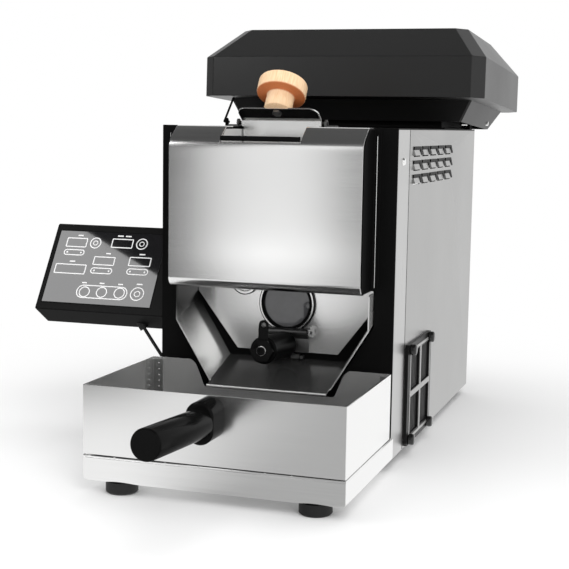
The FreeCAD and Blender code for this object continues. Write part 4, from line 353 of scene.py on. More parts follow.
steel_across = brushed_metal(
    "stainless_grain_across", (9.0, 500.0, 900.0), (0.84, 0.84, 0.835), (0.94, 0.94, 0.935), 0.17, 0.08
)
steel_bright = brushed_metal(
    "bright_pins", (300.0, 300.0, 300.0), (0.84, 0.84, 0.83), (0.94, 0.94, 0.93), 0.2, 0.08
)


def edged_copy(node, name, body, material, edge=0.0004, segments=2, angle=28):
    """Copy of a CAD node with merged faces and softened edges, in its place."""
    bm = bmesh.new()
    bm.from_mesh(nodes[node].data)
    bmesh.ops.remove_doubles(bm, verts=bm.verts, dist=0.000002)
    bmesh.ops.dissolve_limit(
        bm, angle_limit=math.radians(0.5), use_dissolve_boundaries=False, verts=bm.verts, edges=bm.edges
    )
    mesh = bpy.data.meshes.new(name)
    bm.to_mesh(mesh)
    bm.free()
    piece = plain_object(name, mesh, smooth_angle=angle)
    mesh.materials.append(material)
    if edge:
        soften = piece.modifiers.new("soft_edges", "BEVEL")
        soften.width = edge
        soften.segments = segments
        soften.limit_method = "ANGLE"
        soften.angle_limit = math.radians(angle)
        soften.harden_normals = True
        soften.use_clamp_overlap = True
    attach(piece, body)
    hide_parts(node)


edged_copy("base_box", "base_tray_plenum", "roaster", steel_across, edge=0.0007)


def finished(name, bm, body, material, smooth_angle=30, replaced=None):
    """Piece from a bmesh, its doubles merged and its faces turned outward."""
    bmesh.ops.remove_doubles(bm, verts=bm.verts, dist=0.000002)
    bmesh.ops.recalc_face_normals(bm, faces=bm.faces)
    mesh = bpy.data.meshes.new(name)
    bm.to_mesh(mesh)
    bm.free()
    piece = plain_object(name, mesh, smooth_angle=smooth_angle)
    mesh.materials.append(material)
    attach(piece, body)
    if replaced:
        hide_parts(replaced)


def block(bm, size, centre):
    """Box of a size about its centre; returns its vertices."""
    verts = bmesh.ops.create_cube(bm, size=1.0)["verts"]
    bmesh.ops.scale(bm, vec=size, verts=verts)
    bmesh.ops.translate(bm, vec=centre, verts=verts)
    return verts


def bead(bm, radius, squash, centre, segments=16, rings=8):
    """Small flattened ball, for studs and weld spots."""
    verts = bmesh.ops.create_uvsphere(bm, u_segments=segments, v_segments=rings, radius=radius)["verts"]
    bmesh.ops.scale(bm, vec=squash, verts=verts)
    bmesh.ops.translate(bm, vec=centre, verts=verts)


def ease_edges(bm, offset, segments, edges=None):
    """Round the given edges of a bmesh, or all of them."""
    bmesh.ops.bevel(
        bm, geom=list(bm.edges) if edges is None else edges, offset=offset, segments=segments,
        profile=0.5, affect="EDGES", material=-1,
    )


# Small bright stop buttons in the seam between base and tray.
STUD_PLACES = (-0.1065, -0.0840, -0.0390, -0.0100, 0.0185, 0.0460, 0.0680)
SEAM_FRONT = -0.1549
SEAM_HEIGHT = 0.0322
bm = bmesh.new()
for stud_x in STUD_PLACES:
    bead(bm, 0.0010, (1.0, 0.45, 0.8), (stud_x, SEAM_FRONT, SEAM_HEIGHT))
finished("seam_studs", bm, "roaster", steel_bright)
# Flat lip on the base, a bright line in the same seam.
BASE_LIP_SIZE = (0.2247, 0.1500, 0.0022)
BASE_LIP_CENTRE = (0.0, -0.0798, 0.0314)
bm = bmesh.new()
block(bm, BASE_LIP_SIZE, BASE_LIP_CENTRE)
ease_edges(bm, 0.0003, 2)
finished("base_top_lip", bm, "roaster", steel_across, 40)

# ---------------------------------------------------------------- feet
# Four black feet of moulded rubber, each held by a screw from below: two under
# the base box in front, two under the rear of the body.


def grained(name, colour, roughness, scale, bump, depth, metallic=0.0, coat=0.0, vary=0.25, shine=0.5):
    """Non-metal finish with a fine grain in its colour, gloss and relief."""
    material = bpy.data.materials.new(name)
    tree, output = new_nodes(material)
    grain = tree.nodes.new("ShaderNodeGroup")
    grain.node_tree = BRUSHED
    grain.inputs["Stretch"].default_value = (scale, scale, scale)
    grain.inputs["Dark"].default_value = (*[c * (1 - vary) for c in colour], 1.0)
    grain.inputs["Light"].default_value = (*[c * (1 + vary) for c in colour], 1.0)
    grain.inputs["Roughness"].default_value = roughness
    grain.inputs["Spread"].default_value = 0.1
    relief = tree.nodes.new("ShaderNodeBump")
    relief.inputs["Strength"].default_value = bump
    relief.inputs["Distance"].default_value = depth
    surface = tree.nodes.new("ShaderNodeBsdfPrincipled")
    surface.inputs["Metallic"].default_value = metallic
    surface.inputs["Coat Weight"].default_value = coat
    surface.inputs["Specular IOR Level"].default_value = shine
    tree.links.new(grain.outputs["Colour"], surface.inputs["Base Color"])
    tree.links.new(grain.outputs["Roughness"], surface.inputs["Roughness"])
    tree.links.new(grain.outputs["Height"], relief.inputs["Height"])
    tree.links.new(relief.outputs["Normal"], surface.inputs["Normal"])
    tree.links.new(surface.outputs["BSDF"], output.inputs["Surface"])
    return material


rubber = grained("foot_rubber", (0.008, 0.008, 0.008), 0.7, 900.0, 0.3, 0.0001)
edged_copy("rubber_feet", "feet_rubber", "roaster", rubber, edge=0.0)

# ---------------------------------------------------------------- body sheets
# Black powder-coated front plate and deck, brushed stainless corner strips and
# side sheets, and a floor pan and rear sheet, all folded and screwed together.
powder_black = grained("powder_black", (0.004, 0.004, 0.004), 0.42, 2500.0, 0.25, 0.00004, shine=0.05)
edged_copy("front_plate", "front_frame", "roaster", powder_black)
edged_copy("top_deck", "deck_sheet", "roaster", powder_black)
steel_upright = brushed_metal(
    "stainless_grain_upright", (700.0, 700.0, 9.0), (0.36, 0.36, 0.355), (0.46, 0.46, 0.455), 0.34, 0.10
)
steel_dull = brushed_metal(
    "stainless_dull", (120.0, 160.0, 140.0), (0.20, 0.20, 0.20), (0.30, 0.30, 0.30), 0.45, 0.15
)
steel_strip = brushed_metal(
    "stainless_strip", (700.0, 700.0, 9.0), (0.46, 0.46, 0.455), (0.58, 0.58, 0.575), 0.30, 0.10
)
edged_copy("corner_strips", "corner_strip_sheets", "roaster", steel_strip, edge=0.0006)
edged_copy("side_panel_left", "side_sheet_left", "roaster", steel_upright)
edged_copy("side_panel_right", "side_sheet_right", "roaster", steel_upright, edge=0.0006)
edged_copy("rear_panel", "rear_sheet", "roaster", steel_upright)
edged_copy("body_floor", "floor_pan", "roaster", steel_dull)

# Dark sealed seam between corner strip and side sheet.
SIDE_SEAM_SIZE = (0.0010, 0.0010, 0.2916)
bm = bmesh.new()
for side in (-1.0, 1.0):
    block(bm, SIDE_SEAM_SIZE, (side * 0.10965, 0.04615, 0.1560))
ease_edges(bm, 0.0001, 1)
finished("side_seams", bm, "roaster", powder_black)

# Painted shade in the pressed louvres' openings: a black bar along the top and one at the end.
LOUVRE_ROWS, LOUVRE_COLUMNS = 3, 5
LOUVRE_START, LOUVRE_STEP = 0.0610, 0.0365
LOUVRE_TOP, LOUVRE_DROP = 0.2787, 0.0127
LOUVRE_LENGTH = 0.0290
bm = bmesh.new()
for row in range(LOUVRE_ROWS):
    for column in range(LOUVRE_COLUMNS):
        low = LOUVRE_TOP - LOUVRE_DROP * row
        start = LOUVRE_START + LOUVRE_STEP * column
        block(bm, (0.0018, LOUVRE_LENGTH, 0.0032), (0.1101, start + LOUVRE_LENGTH / 2, low + 0.0066))
        end = block(bm, (0.0016, 0.0070, 0.0076), (0.1100, start + 0.0265, low + 0.0040))
        flared = [vert for vert in end if vert.co.x > 0.110 and vert.co.z < low + 0.0040]
        bmesh.ops.translate(bm, vec=(0.0017, 0.0, 0.0), verts=flared)
finished("louvre_shade_bars", bm, "roaster", powder_black)
edged_copy("panel_screws", "strip_screws", "roaster", steel_bright, edge=0.0)

# ---------------------------------------------------------------- face
# Recessed stainless face plate with its sight glass in a clamping ring, a turned
# port cap, the flap's stop, and the bean chute folded from one sheet below.
steel_face = brushed_metal(
    "stainless_face", (9.0, 500.0, 900.0), (0.93, 0.93, 0.925), (0.98, 0.98, 0.975), 0.19, 0.08,
    metallic=0.82,
)
edged_copy("face_plate", "face_sheet", "roaster", steel_face, edge=0.0006)


def thicken(bm, depth, faces=None):
    """Raise flat faces along the local Z axis into a closed sheet."""
    grown = bmesh.ops.extrude_face_region(bm, geom=list(bm.faces) if faces is None else faces)["geom"]
    verts = [part for part in grown if isinstance(part, bmesh.types.BMVert)]
    bmesh.ops.translate(bm, vec=(0.0, 0.0, depth), verts=verts)


def ring_of(bm, inner, outer, depth, segments=96):
    """Flat ring about the local Z axis, from z 0 up to its depth."""
    made = bmesh.ops.create_circle(bm, cap_ends=True, segments=segments, radius=outer)
    disc = {face for vert in made["verts"] for face in vert.link_faces}
    bmesh.ops.inset_region(
        bm, faces=list(disc), thickness=outer - inner, use_boundary=True, use_even_offset=True
    )
    bmesh.ops.delete(bm, geom=list(disc), context="FACES_ONLY")
    thicken(bm, depth, [face for face in bm.faces if face not in disc])
    return bm


def placed(bm, origin, axis):
    """Move a bmesh made about the local Z axis to its origin and axis."""
    turn = Vector(axis).to_track_quat("Z", "Y").to_matrix().to_4x4()
    bmesh.ops.transform(bm, matrix=Matrix.Translation(origin) @ turn, verts=bm.verts)
    return bm


TO_FRONT = (0.0, -1.0, 0.0)
GLASS_HEIGHT = 0.1404
PORT_RIM = (-0.0420, 0.0363, 0.1596)
edged_copy("sight_glass_ring", "glass_ring", "roaster", powder_black, edge=0.0003)
bm = placed(ring_of(bmesh.new(), 0.02475, 0.02605, 0.0003), (0.0, 0.0350, GLASS_HEIGHT), TO_FRONT)
finished("glass_ring_lip", bm, "roaster", steel_bright)
bm = placed(ring_of(bmesh.new(), 0.0269, 0.0279, 0.0008), (0.0, 0.0390, GLASS_HEIGHT), TO_FRONT)
finished("glass_ring_washer", bm, "roaster", steel_bright)
sight_material = grained("sight_glass_grey", (0.10, 0.10, 0.105), 0.12, 60.0, 0.02, 0.00002, coat=1.0)
nodes["sight_glass"].data.materials.clear()
nodes["sight_glass"].data.materials.append(sight_material)
edged_copy("port_cap", "port_cap_turned", "roaster", steel_across)
bm = placed(ring_of(bmesh.new(), 0.0124, 0.0133, 0.0004), PORT_RIM, TO_FRONT)
finished("port_cap_line", bm, "roaster", powder_black)
edged_copy("door_stop", "flap_stop", "roaster", steel_dull)
steel_chute = brushed_metal(
    "stainless_chute", (300.0, 900.0, 300.0), (0.92, 0.92, 0.91), (0.98, 0.98, 0.97), 0.20, 0.06,
    metallic=0.76, bump=0.05,
)


def main_shader(material):
    """Node that holds a finish's colour, gloss and relief."""
    return next(node for node in material.node_tree.nodes if node.type == "BSDF_PRINCIPLED")


def toned(material, tone, mask_of):
    """Multiply a finish's colour by a tone where a mask of its surface is 1."""
    tree = material.node_tree
    colour = main_shader(material).inputs["Base Color"]
    blend = tree.nodes.new("ShaderNodeMix")
    blend.data_type = "RGBA"
    blend.blend_type = "MULTIPLY"
    tree.links.new(mask_of(tree), blend.inputs["Factor"])
    tree.links.new(colour.links[0].from_socket, blend.inputs["A"])
    blend.inputs["B"].default_value = (*tone, 1.0)
    tree.links.new(blend.outputs["Result"], colour)


def place_parts(tree):
    """X, Y and Z of a point of the piece."""
    place = tree.nodes.new("ShaderNodeTexCoord")
    parts = tree.nodes.new("ShaderNodeSeparateXYZ")
    tree.links.new(place.outputs["Object"], parts.inputs["Vector"])
    return parts.outputs


def lies_flat(tree):
    """1 where the surface faces straight up."""
    outward = tree.nodes.new("ShaderNodeNewGeometry")
    parts = tree.nodes.new("ShaderNodeSeparateXYZ")
    tree.links.new(outward.outputs["Normal"], parts.inputs["Vector"])
    return ramp_of(tree, parts.outputs["Z"], 0.80, 0.95)


def shaded_shoulder(tree):
    """1 on the upper part of the left wing, in the shade of the cover."""
    parts = place_parts(tree)
    high = ramp_of(tree, parts["Z"], 0.108, 0.142)
    return mixed(tree, ramp_of(tree, parts["X"], -0.030, -0.050), 0.0, high)


# Painted shade on the chute: its floor is darkened where it faces up, and its upper left wing where the
# cover shades it.
CHUTE_FLOOR_SHADE = (0.16, 0.16, 0.16)
SHOULDER_TONE = (0.06, 0.06, 0.06)
toned(steel_chute, CHUTE_FLOOR_SHADE, lies_flat)
toned(steel_chute, SHOULDER_TONE, shaded_shoulder)
edged_copy("chute", "bean_chute", "roaster", steel_chute, edge=0.0006)

# ---------------------------------------------------------------- front cover
# One brushed stainless sheet folded over the front between two black cheeks, with
# the bean mouth cut out of its slanted band and a sheet funnel under the mouth.
MOUTH_MIDDLE = -0.0045
MOUTH_WIDTH = 0.0736
MOUTH_LIP_CENTRE = (MOUTH_MIDDLE, -0.0332, 0.2922)
CHEEK_SIDE = 0.0956
WIRE_RADIUS, WIRE_LENGTH = 0.0003, 0.1300
edged_copy("front_cover", "cover_sheet", "roaster", steel_across, edge=0.00055, segments=3)
bm = bmesh.new()
block(bm, (MOUTH_WIDTH, 0.0012, 0.0044), MOUTH_LIP_CENTRE)
ease_edges(bm, 0.0005, 3)
finished("mouth_lip", bm, "roaster", powder_black, 40)
bm = bmesh.new()
for side in (-1.0, 1.0):
    wire = bmesh.ops.create_cone(
        bm, cap_ends=True, segments=8, radius1=WIRE_RADIUS, radius2=WIRE_RADIUS, depth=WIRE_LENGTH
    )
    bmesh.ops.translate(bm, vec=(side * CHEEK_SIDE, -0.0155, 0.2310), verts=wire["verts"])
finished("cheek_wires", bm, "roaster", steel_bright, 40)
edged_copy("cover_cheeks", "cover_side_plates", "roaster", powder_black)
steel_soft = brushed_metal(
    "stainless_soft", (120.0, 120.0, 120.0), (0.72, 0.72, 0.71), (0.82, 0.82, 0.81), 0.35, 0.1, metallic=0.55
)
edged_copy("inlet_funnel", "bean_funnel", "roaster", steel_soft)

# ---------------------------------------------------------------- inlet flap
# Bent stainless flap on a pin between two angle brackets, lifted by a turned beech
# knob that one screw holds; a thin black sheet under its top plate paints a dark reflection.
KNOB_AXIS = (0.0, 0.545, 0.8384)
KNOB_BASE = (MOUTH_MIDDLE, 0.0136, 0.3169)
FLAP_LEAN = math.radians(33.0)


def along_knob(tree, vector):
    """Length of a vector along the knob's axis."""
    along = tree.nodes.new("ShaderNodeVectorMath")
    along.operation = "DOT_PRODUCT"
    tree.links.new(vector, along.inputs[0])
    along.inputs[1].default_value = KNOB_AXIS
    return along.outputs["Value"]


def beech():
    """Oiled beech with its grain along the knob's axis, with painted shade under the head."""
    material = bpy.data.materials.new("beech_oiled")
    tree, output = new_nodes(material)
    place = tree.nodes.new("ShaderNodeTexCoord")
    upright_wood = tree.nodes.new("ShaderNodeMapping")
    upright_wood.inputs["Rotation"].default_value = (FLAP_LEAN, 0.0, 0.0)
    tree.links.new(place.outputs["Object"], upright_wood.inputs["Vector"])
    stretched = tree.nodes.new("ShaderNodeVectorMath")
    stretched.operation = "MULTIPLY"
    stretched.inputs[1].default_value = (1100.0, 1100.0, 90.0)
    tree.links.new(upright_wood.outputs["Vector"], stretched.inputs[0])
    bands = tree.nodes.new("ShaderNodeTexNoise")
    bands.inputs["Scale"].default_value = 1.0
    bands.inputs["Detail"].default_value = 6.0
    bands.inputs["Distortion"].default_value = 0.6
    tree.links.new(stretched.outputs["Vector"], bands.inputs["Vector"])
    colours = tree.nodes.new("ShaderNodeValToRGB")
    colours.color_ramp.elements[0].position = 0.3
    colours.color_ramp.elements[0].color = (0.80, 0.50, 0.27, 1.0)
    colours.color_ramp.elements[1].position = 0.7
    colours.color_ramp.elements[1].color = (0.92, 0.68, 0.44, 1.0)
    tree.links.new(bands.outputs["Fac"], colours.inputs["Fac"])
    relief = tree.nodes.new("ShaderNodeBump")
    relief.inputs["Strength"].default_value = 0.2
    relief.inputs["Distance"].default_value = 0.0001
    tree.links.new(bands.outputs["Fac"], relief.inputs["Height"])
    # Painted shade: faces turned down under the head are multiplied towards a deep orange.
    outward = tree.nodes.new("ShaderNodeNewGeometry")
    faces_down = ramp_of(tree, along_knob(tree, outward.outputs["Normal"]), -0.1, -0.9)
    above_stem = ramp_of(tree, along_knob(tree, place.outputs["Object"]), 0.2790, 0.2840)
    below = mixed(tree, above_stem, 0.0, faces_down)
    tone = tree.nodes.new("ShaderNodeMix")
    tone.data_type = "RGBA"
    tone.blend_type = "MULTIPLY"
    tree.links.new(below, tone.inputs["Factor"])
    tree.links.new(colours.outputs["Color"], tone.inputs["A"])
    tone.inputs["B"].default_value = (0.62, 0.27, 0.14, 1.0)
    surface = tree.nodes.new("ShaderNodeBsdfPrincipled")
    surface.inputs["Roughness"].default_value = 0.45
    tree.links.new(tone.outputs["Result"], surface.inputs["Base Color"])
    tree.links.new(relief.outputs["Normal"], surface.inputs["Normal"])
    tree.links.new(surface.outputs["BSDF"], output.inputs["Surface"])
    return material


steel_blade = brushed_metal(
    "stainless_blade", (9.0, 700.0, 700.0), (0.82, 0.82, 0.81), (0.95, 0.95, 0.94), 0.26, 0.1
)
edged_copy("inlet_flap", "flap_sheet", "inlet_flap", steel_blade, edge=0.0006)
# Thin black sheet under the flap's top plate, its upper corners round: painted dark reflection where the
# steel faces down.
DARK_SHEET_LENGTH, DARK_SHEET_CORNER, DARK_SHEET_DEPTH = 0.0140, 0.0078, 0.0004
DARK_SHEET_FROM_BEND = 0.0111
dark_sheet_across = Vector((1.0, 0.0, 0.0))
dark_sheet_up = Vector((0.0, -math.cos(FLAP_LEAN), math.sin(FLAP_LEAN)))
dark_sheet_under = dark_sheet_across.cross(dark_sheet_up)
if dark_sheet_under.z > 0:
    dark_sheet_under = -dark_sheet_under
dark_sheet_frame = Matrix((dark_sheet_across, dark_sheet_up, dark_sheet_under)).transposed().to_4x4()
underside = max(vert.co.dot(dark_sheet_under) for vert in nodes["inlet_flap"].data.vertices if vert.co.z > 0.3125)
bend = Vector((MOUTH_MIDDLE, 0.0250, 0.3095))
dark_sheet_frame.translation = bend + dark_sheet_up * DARK_SHEET_FROM_BEND + dark_sheet_under * (underside - bend.dot(dark_sheet_under))
bm = bmesh.new()
made = bmesh.ops.create_grid(bm, x_segments=1, y_segments=1, size=0.5)
bmesh.ops.scale(bm, vec=(MOUTH_WIDTH, DARK_SHEET_LENGTH, 1.0), verts=made["verts"])
upper = [vert for vert in bm.verts if vert.co.y > 0.0]
bmesh.ops.bevel(
    bm, geom=upper, offset=DARK_SHEET_CORNER, offset_type="OFFSET", segments=8, profile=0.5, affect="VERTICES",
    material=-1,
)
thicken(bm, DARK_SHEET_DEPTH)
bmesh.ops.transform(bm, matrix=dark_sheet_frame, verts=bm.verts)
finished("flap_dark_reflection_sheet", bm, "inlet_flap", powder_black, 40)


def turned(bm, start, steps, segments=96):
    """Stack rings up the local Z axis: start is (radius, height), each step too."""
    radius, height = start
    bmesh.ops.create_circle(bm, cap_ends=True, segments=segments, radius=radius)
    cap = list(bm.faces)
    bmesh.ops.translate(bm, vec=(0.0, 0.0, height), verts=bm.verts)
    for number, (next_radius, next_height) in enumerate(steps):
        grown = bmesh.ops.extrude_face_region(bm, geom=cap)["geom"]
        if number:
            bmesh.ops.delete(bm, geom=cap, context="FACES_ONLY")
        cap = [part for part in grown if isinstance(part, bmesh.types.BMFace)]
        verts = [part for part in grown if isinstance(part, bmesh.types.BMVert)]
        ratio = next_radius / radius
        bmesh.ops.scale(bm, vec=(ratio, ratio, 1.0), verts=verts)
        bmesh.ops.translate(bm, vec=(0.0, 0.0, next_height - height), verts=verts)
        radius, height = next_radius, next_height
    return bm


KNOB_PROFILE = (
    (0.0119, 0.0),
    ((0.0125, 0.0006), (0.0125, 0.0140), (0.0129, 0.0149), (0.0139, 0.0154), (0.0212, 0.0158),
     (0.0220, 0.0163), (0.0223, 0.0172), (0.0223, 0.0280), (0.0219, 0.0289), (0.0210, 0.0294)),
)
bm = turned(bmesh.new(), *KNOB_PROFILE)
finished(
    "knob_turned", placed(bm, KNOB_BASE, KNOB_AXIS), "inlet_flap", beech(), 50, replaced="wooden_knob"
)
edged_copy("knob_screw", "knob_fixing", "inlet_flap", steel_dull, edge=0.0002)
steel_shaded = brushed_metal(
    "steel_shaded", (120.0, 160.0, 140.0), (0.05, 0.05, 0.05), (0.09, 0.09, 0.09), 0.35, 0.10
)
edged_copy("flap_brackets", "flap_angle_brackets", "roaster", steel_dull)
edged_copy("flap_pin", "flap_hinge_pin", "roaster", steel_shaded, edge=0.0002)

# ---------------------------------------------------------------- discharge flap
# Stainless door hung on a pin under the glass, with a black moulded grip; a
# six-sided cap with a ring screw clamps the latch plate to the grip's end.
phenolic = grained("phenolic_black", (0.004, 0.004, 0.004), 0.15, 500.0, 0.05, 0.00002, shine=0.05)
edged_copy("discharge_flap", "discharge_door", "discharge_flap", steel_dull, edge=0.0003)
edged_copy("door_pin", "discharge_pin", "roaster", steel_shaded, edge=0.0002)
grip_black = grained("grip_black", (0.004, 0.004, 0.004), 0.30, 500.0, 0.05, 0.00002, shine=0.03)
edged_copy("discharge_grip", "discharge_grip_moulded", "discharge_flap", grip_black, edge=0.0)
edged_copy("grip_cap", "discharge_cap", "discharge_flap", phenolic, edge=0.0003)
GRIP_RISE = math.radians(3.75)
GRIP_AXIS = Vector((0.0, -math.cos(GRIP_RISE), math.sin(GRIP_RISE)))
GRIP_ROOT = Vector((0.0, 0.0280, 0.1030))
GRIP_LENGTH = 0.0630
cap_front = GRIP_ROOT + GRIP_AXIS * GRIP_LENGTH
bm = placed(ring_of(bmesh.new(), 0.0028, 0.0044, 0.0007, 48), cap_front, GRIP_AXIS)
ease_edges(bm, 0.0002, 2, [edge for edge in bm.edges if edge.calc_face_angle(0.0) > 1.0])
finished("cap_ring_screw", bm, "discharge_flap", steel_bright)
edged_copy("latch_arm", "latch_plate", "discharge_flap", phenolic, edge=0.0002)

# ---------------------------------------------------------------- tray
# Open tray folded from stainless sheet with a slotted floor; its back wall is
# scooped out round the chute, and a black bar handle stands on a block in front.
steel_tray = brushed_metal(
    "stainless_tray", (9.0, 700.0, 900.0), (0.88, 0.88, 0.875), (0.94, 0.94, 0.935), 0.22, 0.06, bump=0.04
)


def inner_walls(tree):
    """1 inside the tray's outer skin, where the sheet is left matt."""
    parts = place_parts(tree)
    across = tree.nodes.new("ShaderNodeMath")
    across.operation = "ABSOLUTE"
    tree.links.new(parts["X"], across.inputs[0])
    between = ramp_of(tree, across.outputs["Value"], 0.1120, 0.1114)
    behind = ramp_of(tree, parts["Y"], -0.1549, -0.1543)
    return mixed(tree, between, 0.0, behind)


MATT_METAL = 0.93
tree = steel_tray.node_tree
matt_walls = ramp_of(tree, inner_walls(tree), 0.0, 1.0, 1.0, MATT_METAL)
tree.links.new(matt_walls, main_shader(steel_tray).inputs["Metallic"])
edged_copy("bean_tray", "tray_sheet", "tray", steel_tray, edge=0.0006)

# The side walls lap over the back wall with a narrow strip, joined by weld spots.
LAP_SIZE = (0.0086, 0.0006, 0.0520)
bm = bmesh.new()
for side in (-1.0, 1.0):
    block(bm, LAP_SIZE, (side * 0.1068, -0.0149, 0.0630))
finished("tray_corner_laps", bm, "tray", steel_strip, 40)
WELD_SPOTS, WELD_LOW, WELD_STEP = 9, 0.0420, 0.0054
bm = bmesh.new()
for side in (-1.0, 1.0):
    for number in range(WELD_SPOTS):
        height = WELD_LOW + number * WELD_STEP
        bead(bm, 0.0008, (1.0, 0.5, 1.0), (side * 0.1060, -0.0152, height), 12, 6)
finished("tray_weld_spots", bm, "tray", steel_bright, 40)
edged_copy("tray_floor", "tray_floor_sheet", "tray", steel_dull, edge=0.0)
edged_copy("handle_mount", "handle_block", "tray", phenolic, edge=0.0008, segments=3)
BAR_RISE = math.radians(3.8)
BAR_AXIS = (0.0, -math.cos(BAR_RISE), math.sin(BAR_RISE))
BAR_ROOT = (0.0, -0.1800, 0.0733)
BAR_PROFILE = (
    (0.01215, 0.0008), ((0.01225, 0.0016), (0.01225, 0.0978), (0.0118, 0.0988), (0.0109, 0.0994)),
)
bm = turned(bmesh.new(), *BAR_PROFILE)
finished(
    "handle_round_bar", placed(bm, BAR_ROOT, BAR_AXIS), "tray", phenolic, replaced="handle_bar"
)
edged_copy("handle_screws", "handle_fixings", "tray", steel_bright, edge=0.0002)

# ---------------------------------------------------------------- right side
# Moulded black filter frame with a steel mesh behind its crossed face, held by
# four turned thumb screws over the square fan frame and its rotor.
plastic = grained("black_plastic", (0.006, 0.006, 0.006), 0.40, 1500.0, 0.3, 0.00005, shine=0.15)
mesh_grey = grained("filter_mesh_grey", (0.03, 0.03, 0.03), 0.6, 900.0, 0.3, 0.00005, shine=0.3)
filter_grey = grained(
    "filter_frame_grey", (0.40, 0.40, 0.395), 0.4, 700.0, 0.15, 0.00003, metallic=0.5
)
edged_copy("filter_frame", "filter_frame_moulded", "roaster", plastic, edge=0.0006)
FILTER_CENTRE = Vector((0.1130, 0.1025, 0.05875))
FILTER_WIDTH, FILTER_HEIGHT = 0.0880, 0.0850
FILTER_BAR, FILTER_SHEET = 0.0026, 0.0004
bm = bmesh.new()
made = bmesh.ops.create_grid(bm, x_segments=2, y_segments=2, size=0.5)
bmesh.ops.scale(bm, vec=(FILTER_WIDTH, FILTER_HEIGHT, 1.0), verts=made["verts"])
inner_panes = list(bm.faces)
bmesh.ops.inset_individual(bm, faces=inner_panes, thickness=FILTER_BAR, use_even_offset=True)
bmesh.ops.delete(bm, geom=inner_panes, context="FACES_ONLY")
thicken(bm, FILTER_SHEET)
face_axes = Matrix(((0.0, 1.0, 0.0), (0.0, 0.0, 1.0), (1.0, 0.0, 0.0))).transposed().to_4x4()
face_axes.translation = FILTER_CENTRE
bmesh.ops.transform(bm, matrix=face_axes, verts=bm.verts)
finished("filter_face", bm, "roaster", filter_grey, 40)
edged_copy("filter_mesh", "filter_mesh_sheet", "roaster", mesh_grey, edge=0.0)
THUMB_PROFILE = (
    (0.0015, -0.0040),
    ((0.0015, 0.0), (0.0046, 0.0), (0.0052, 0.0006), (0.0052, 0.0042), (0.0046, 0.0051), (0.0030, 0.0056)),
)
THUMB_PLACES = ((0.0605, 0.0165), (0.0605, 0.1010), (0.1405, 0.0165), (0.1405, 0.1010))
bm = bmesh.new()
for across, height in THUMB_PLACES:
    screw = turned(bmesh.new(), *THUMB_PROFILE, 40)
    placed(screw, (FILTER_CENTRE.x, across, height), (1.0, 0.0, 0.0))
    head = bpy.data.meshes.new("one_screw")
    screw.to_mesh(head)
    screw.free()
    bm.from_mesh(head)
    bpy.data.meshes.remove(head)
thumb_black = grained("thumb_black", (0.006, 0.006, 0.006), 0.14, 500.0, 0.05, 0.00002, shine=0.5)
finished("filter_thumb_screws", bm, "roaster", thumb_black, 40, replaced="filter_screws")
edged_copy("fan_frame", "fan_square_frame", "roaster", plastic)
edged_copy("fan_rotor", "fan_blades", "fan", plastic, edge=0.0)

# ---------------------------------------------------------------- controls
# Flat moulded case tilted back on a bracket at the left of the body, with dark
# glass let into its face and a short lead that leaves through a rubber gland.
glass_black = grained("control_glass_black", (0.006, 0.006, 0.007), 0.06, 40.0, 0.01, 0.00001, coat=1.0)
case_black = grained("case_black", (0.005, 0.005, 0.005), 0.36, 1500.0, 0.3, 0.00005, shine=0.07)
edged_copy("control_case", "control_housing", "roaster", case_black, edge=0.0008)
edged_copy("control_glass", "control_screen", "roaster", glass_black, edge=0.0005)
edged_copy("panel_arm", "control_bracket", "roaster", powder_black)
edged_copy("lead_glands", "lead_grommets", "roaster", rubber, edge=0.0003)

# Printed signs on the glass: plain frames, pills and rings, each a thin raised
# outline. Places are millimetres from the case's lower left corner.
PANEL_TILT = math.radians(32.5)
panel_up = Vector((0.0, math.sin(PANEL_TILT), math.cos(PANEL_TILT)))
panel_out = Vector((0.0, -math.cos(PANEL_TILT), math.sin(PANEL_TILT)))
panel_frame = Matrix((Vector((1.0, 0.0, 0.0)), panel_up, panel_out)).transposed().to_4x4()
CASE_LEFT, CASE_LOW, GLASS_FRONT = -0.244, 0.10627, 0.0677
panel_frame.translation = Vector((CASE_LEFT, 0.0, 0.0)) + panel_up * CASE_LOW + panel_out * GLASS_FRONT
PRINT_LINE = 0.0010
PRINT_DEPTH = 0.00015
print_white = grained("print_white", (0.82, 0.82, 0.82), 0.5, 900.0, 0.05, 0.00001, vary=0.04)


def outline(bm, left, right, low, high, corner, segments=6):
    """Raised outline of a rounded rectangle; millimetres in the panel's plane."""
    width, height = (right - left) / 1000, (high - low) / 1000
    made = bmesh.ops.create_grid(bm, x_segments=1, y_segments=1, size=0.5)
    bmesh.ops.scale(bm, vec=(width, height, 1.0), verts=made["verts"])
    bmesh.ops.translate(bm, vec=((left + right) / 2000, (low + high) / 2000, 0.0), verts=made["verts"])
    corners = made["verts"]
    sheet = {face for vert in corners for face in vert.link_faces}
    known = set(bm.faces) - sheet
    bmesh.ops.bevel(
        bm, geom=corners, offset=corner / 1000, offset_type="OFFSET", segments=segments, profile=0.5,
        affect="VERTICES", material=-1,
    )
    sheet = [face for face in bm.faces if face not in known]
    bmesh.ops.inset_region(bm, faces=sheet, thickness=PRINT_LINE, use_boundary=True, use_even_offset=True)
    rim = [face for face in bm.faces if face not in known and face not in sheet]
    bmesh.ops.delete(bm, geom=sheet, context="FACES_ONLY")
    thicken(bm, PRINT_DEPTH, rim)


def loop(bm, across, up, radius, line=PRINT_LINE):
    """Raised ring round a point of the panel, or a dot where it has no hole."""
    made = bmesh.ops.create_circle(bm, cap_ends=True, segments=40, radius=radius / 1000)
    bmesh.ops.translate(bm, vec=(across / 1000, up / 1000, 0.0), verts=made["verts"])
    disc = list({face for vert in made["verts"] for face in vert.link_faces})
    if line:
        known = set(bm.faces)
        bmesh.ops.inset_region(bm, faces=disc, thickness=line, use_boundary=True, use_even_offset=True)
        rim = [face for face in bm.faces if face not in known]
        bmesh.ops.delete(bm, geom=disc, context="FACES_ONLY")
        disc = rim
    thicken(bm, PRINT_DEPTH, disc)


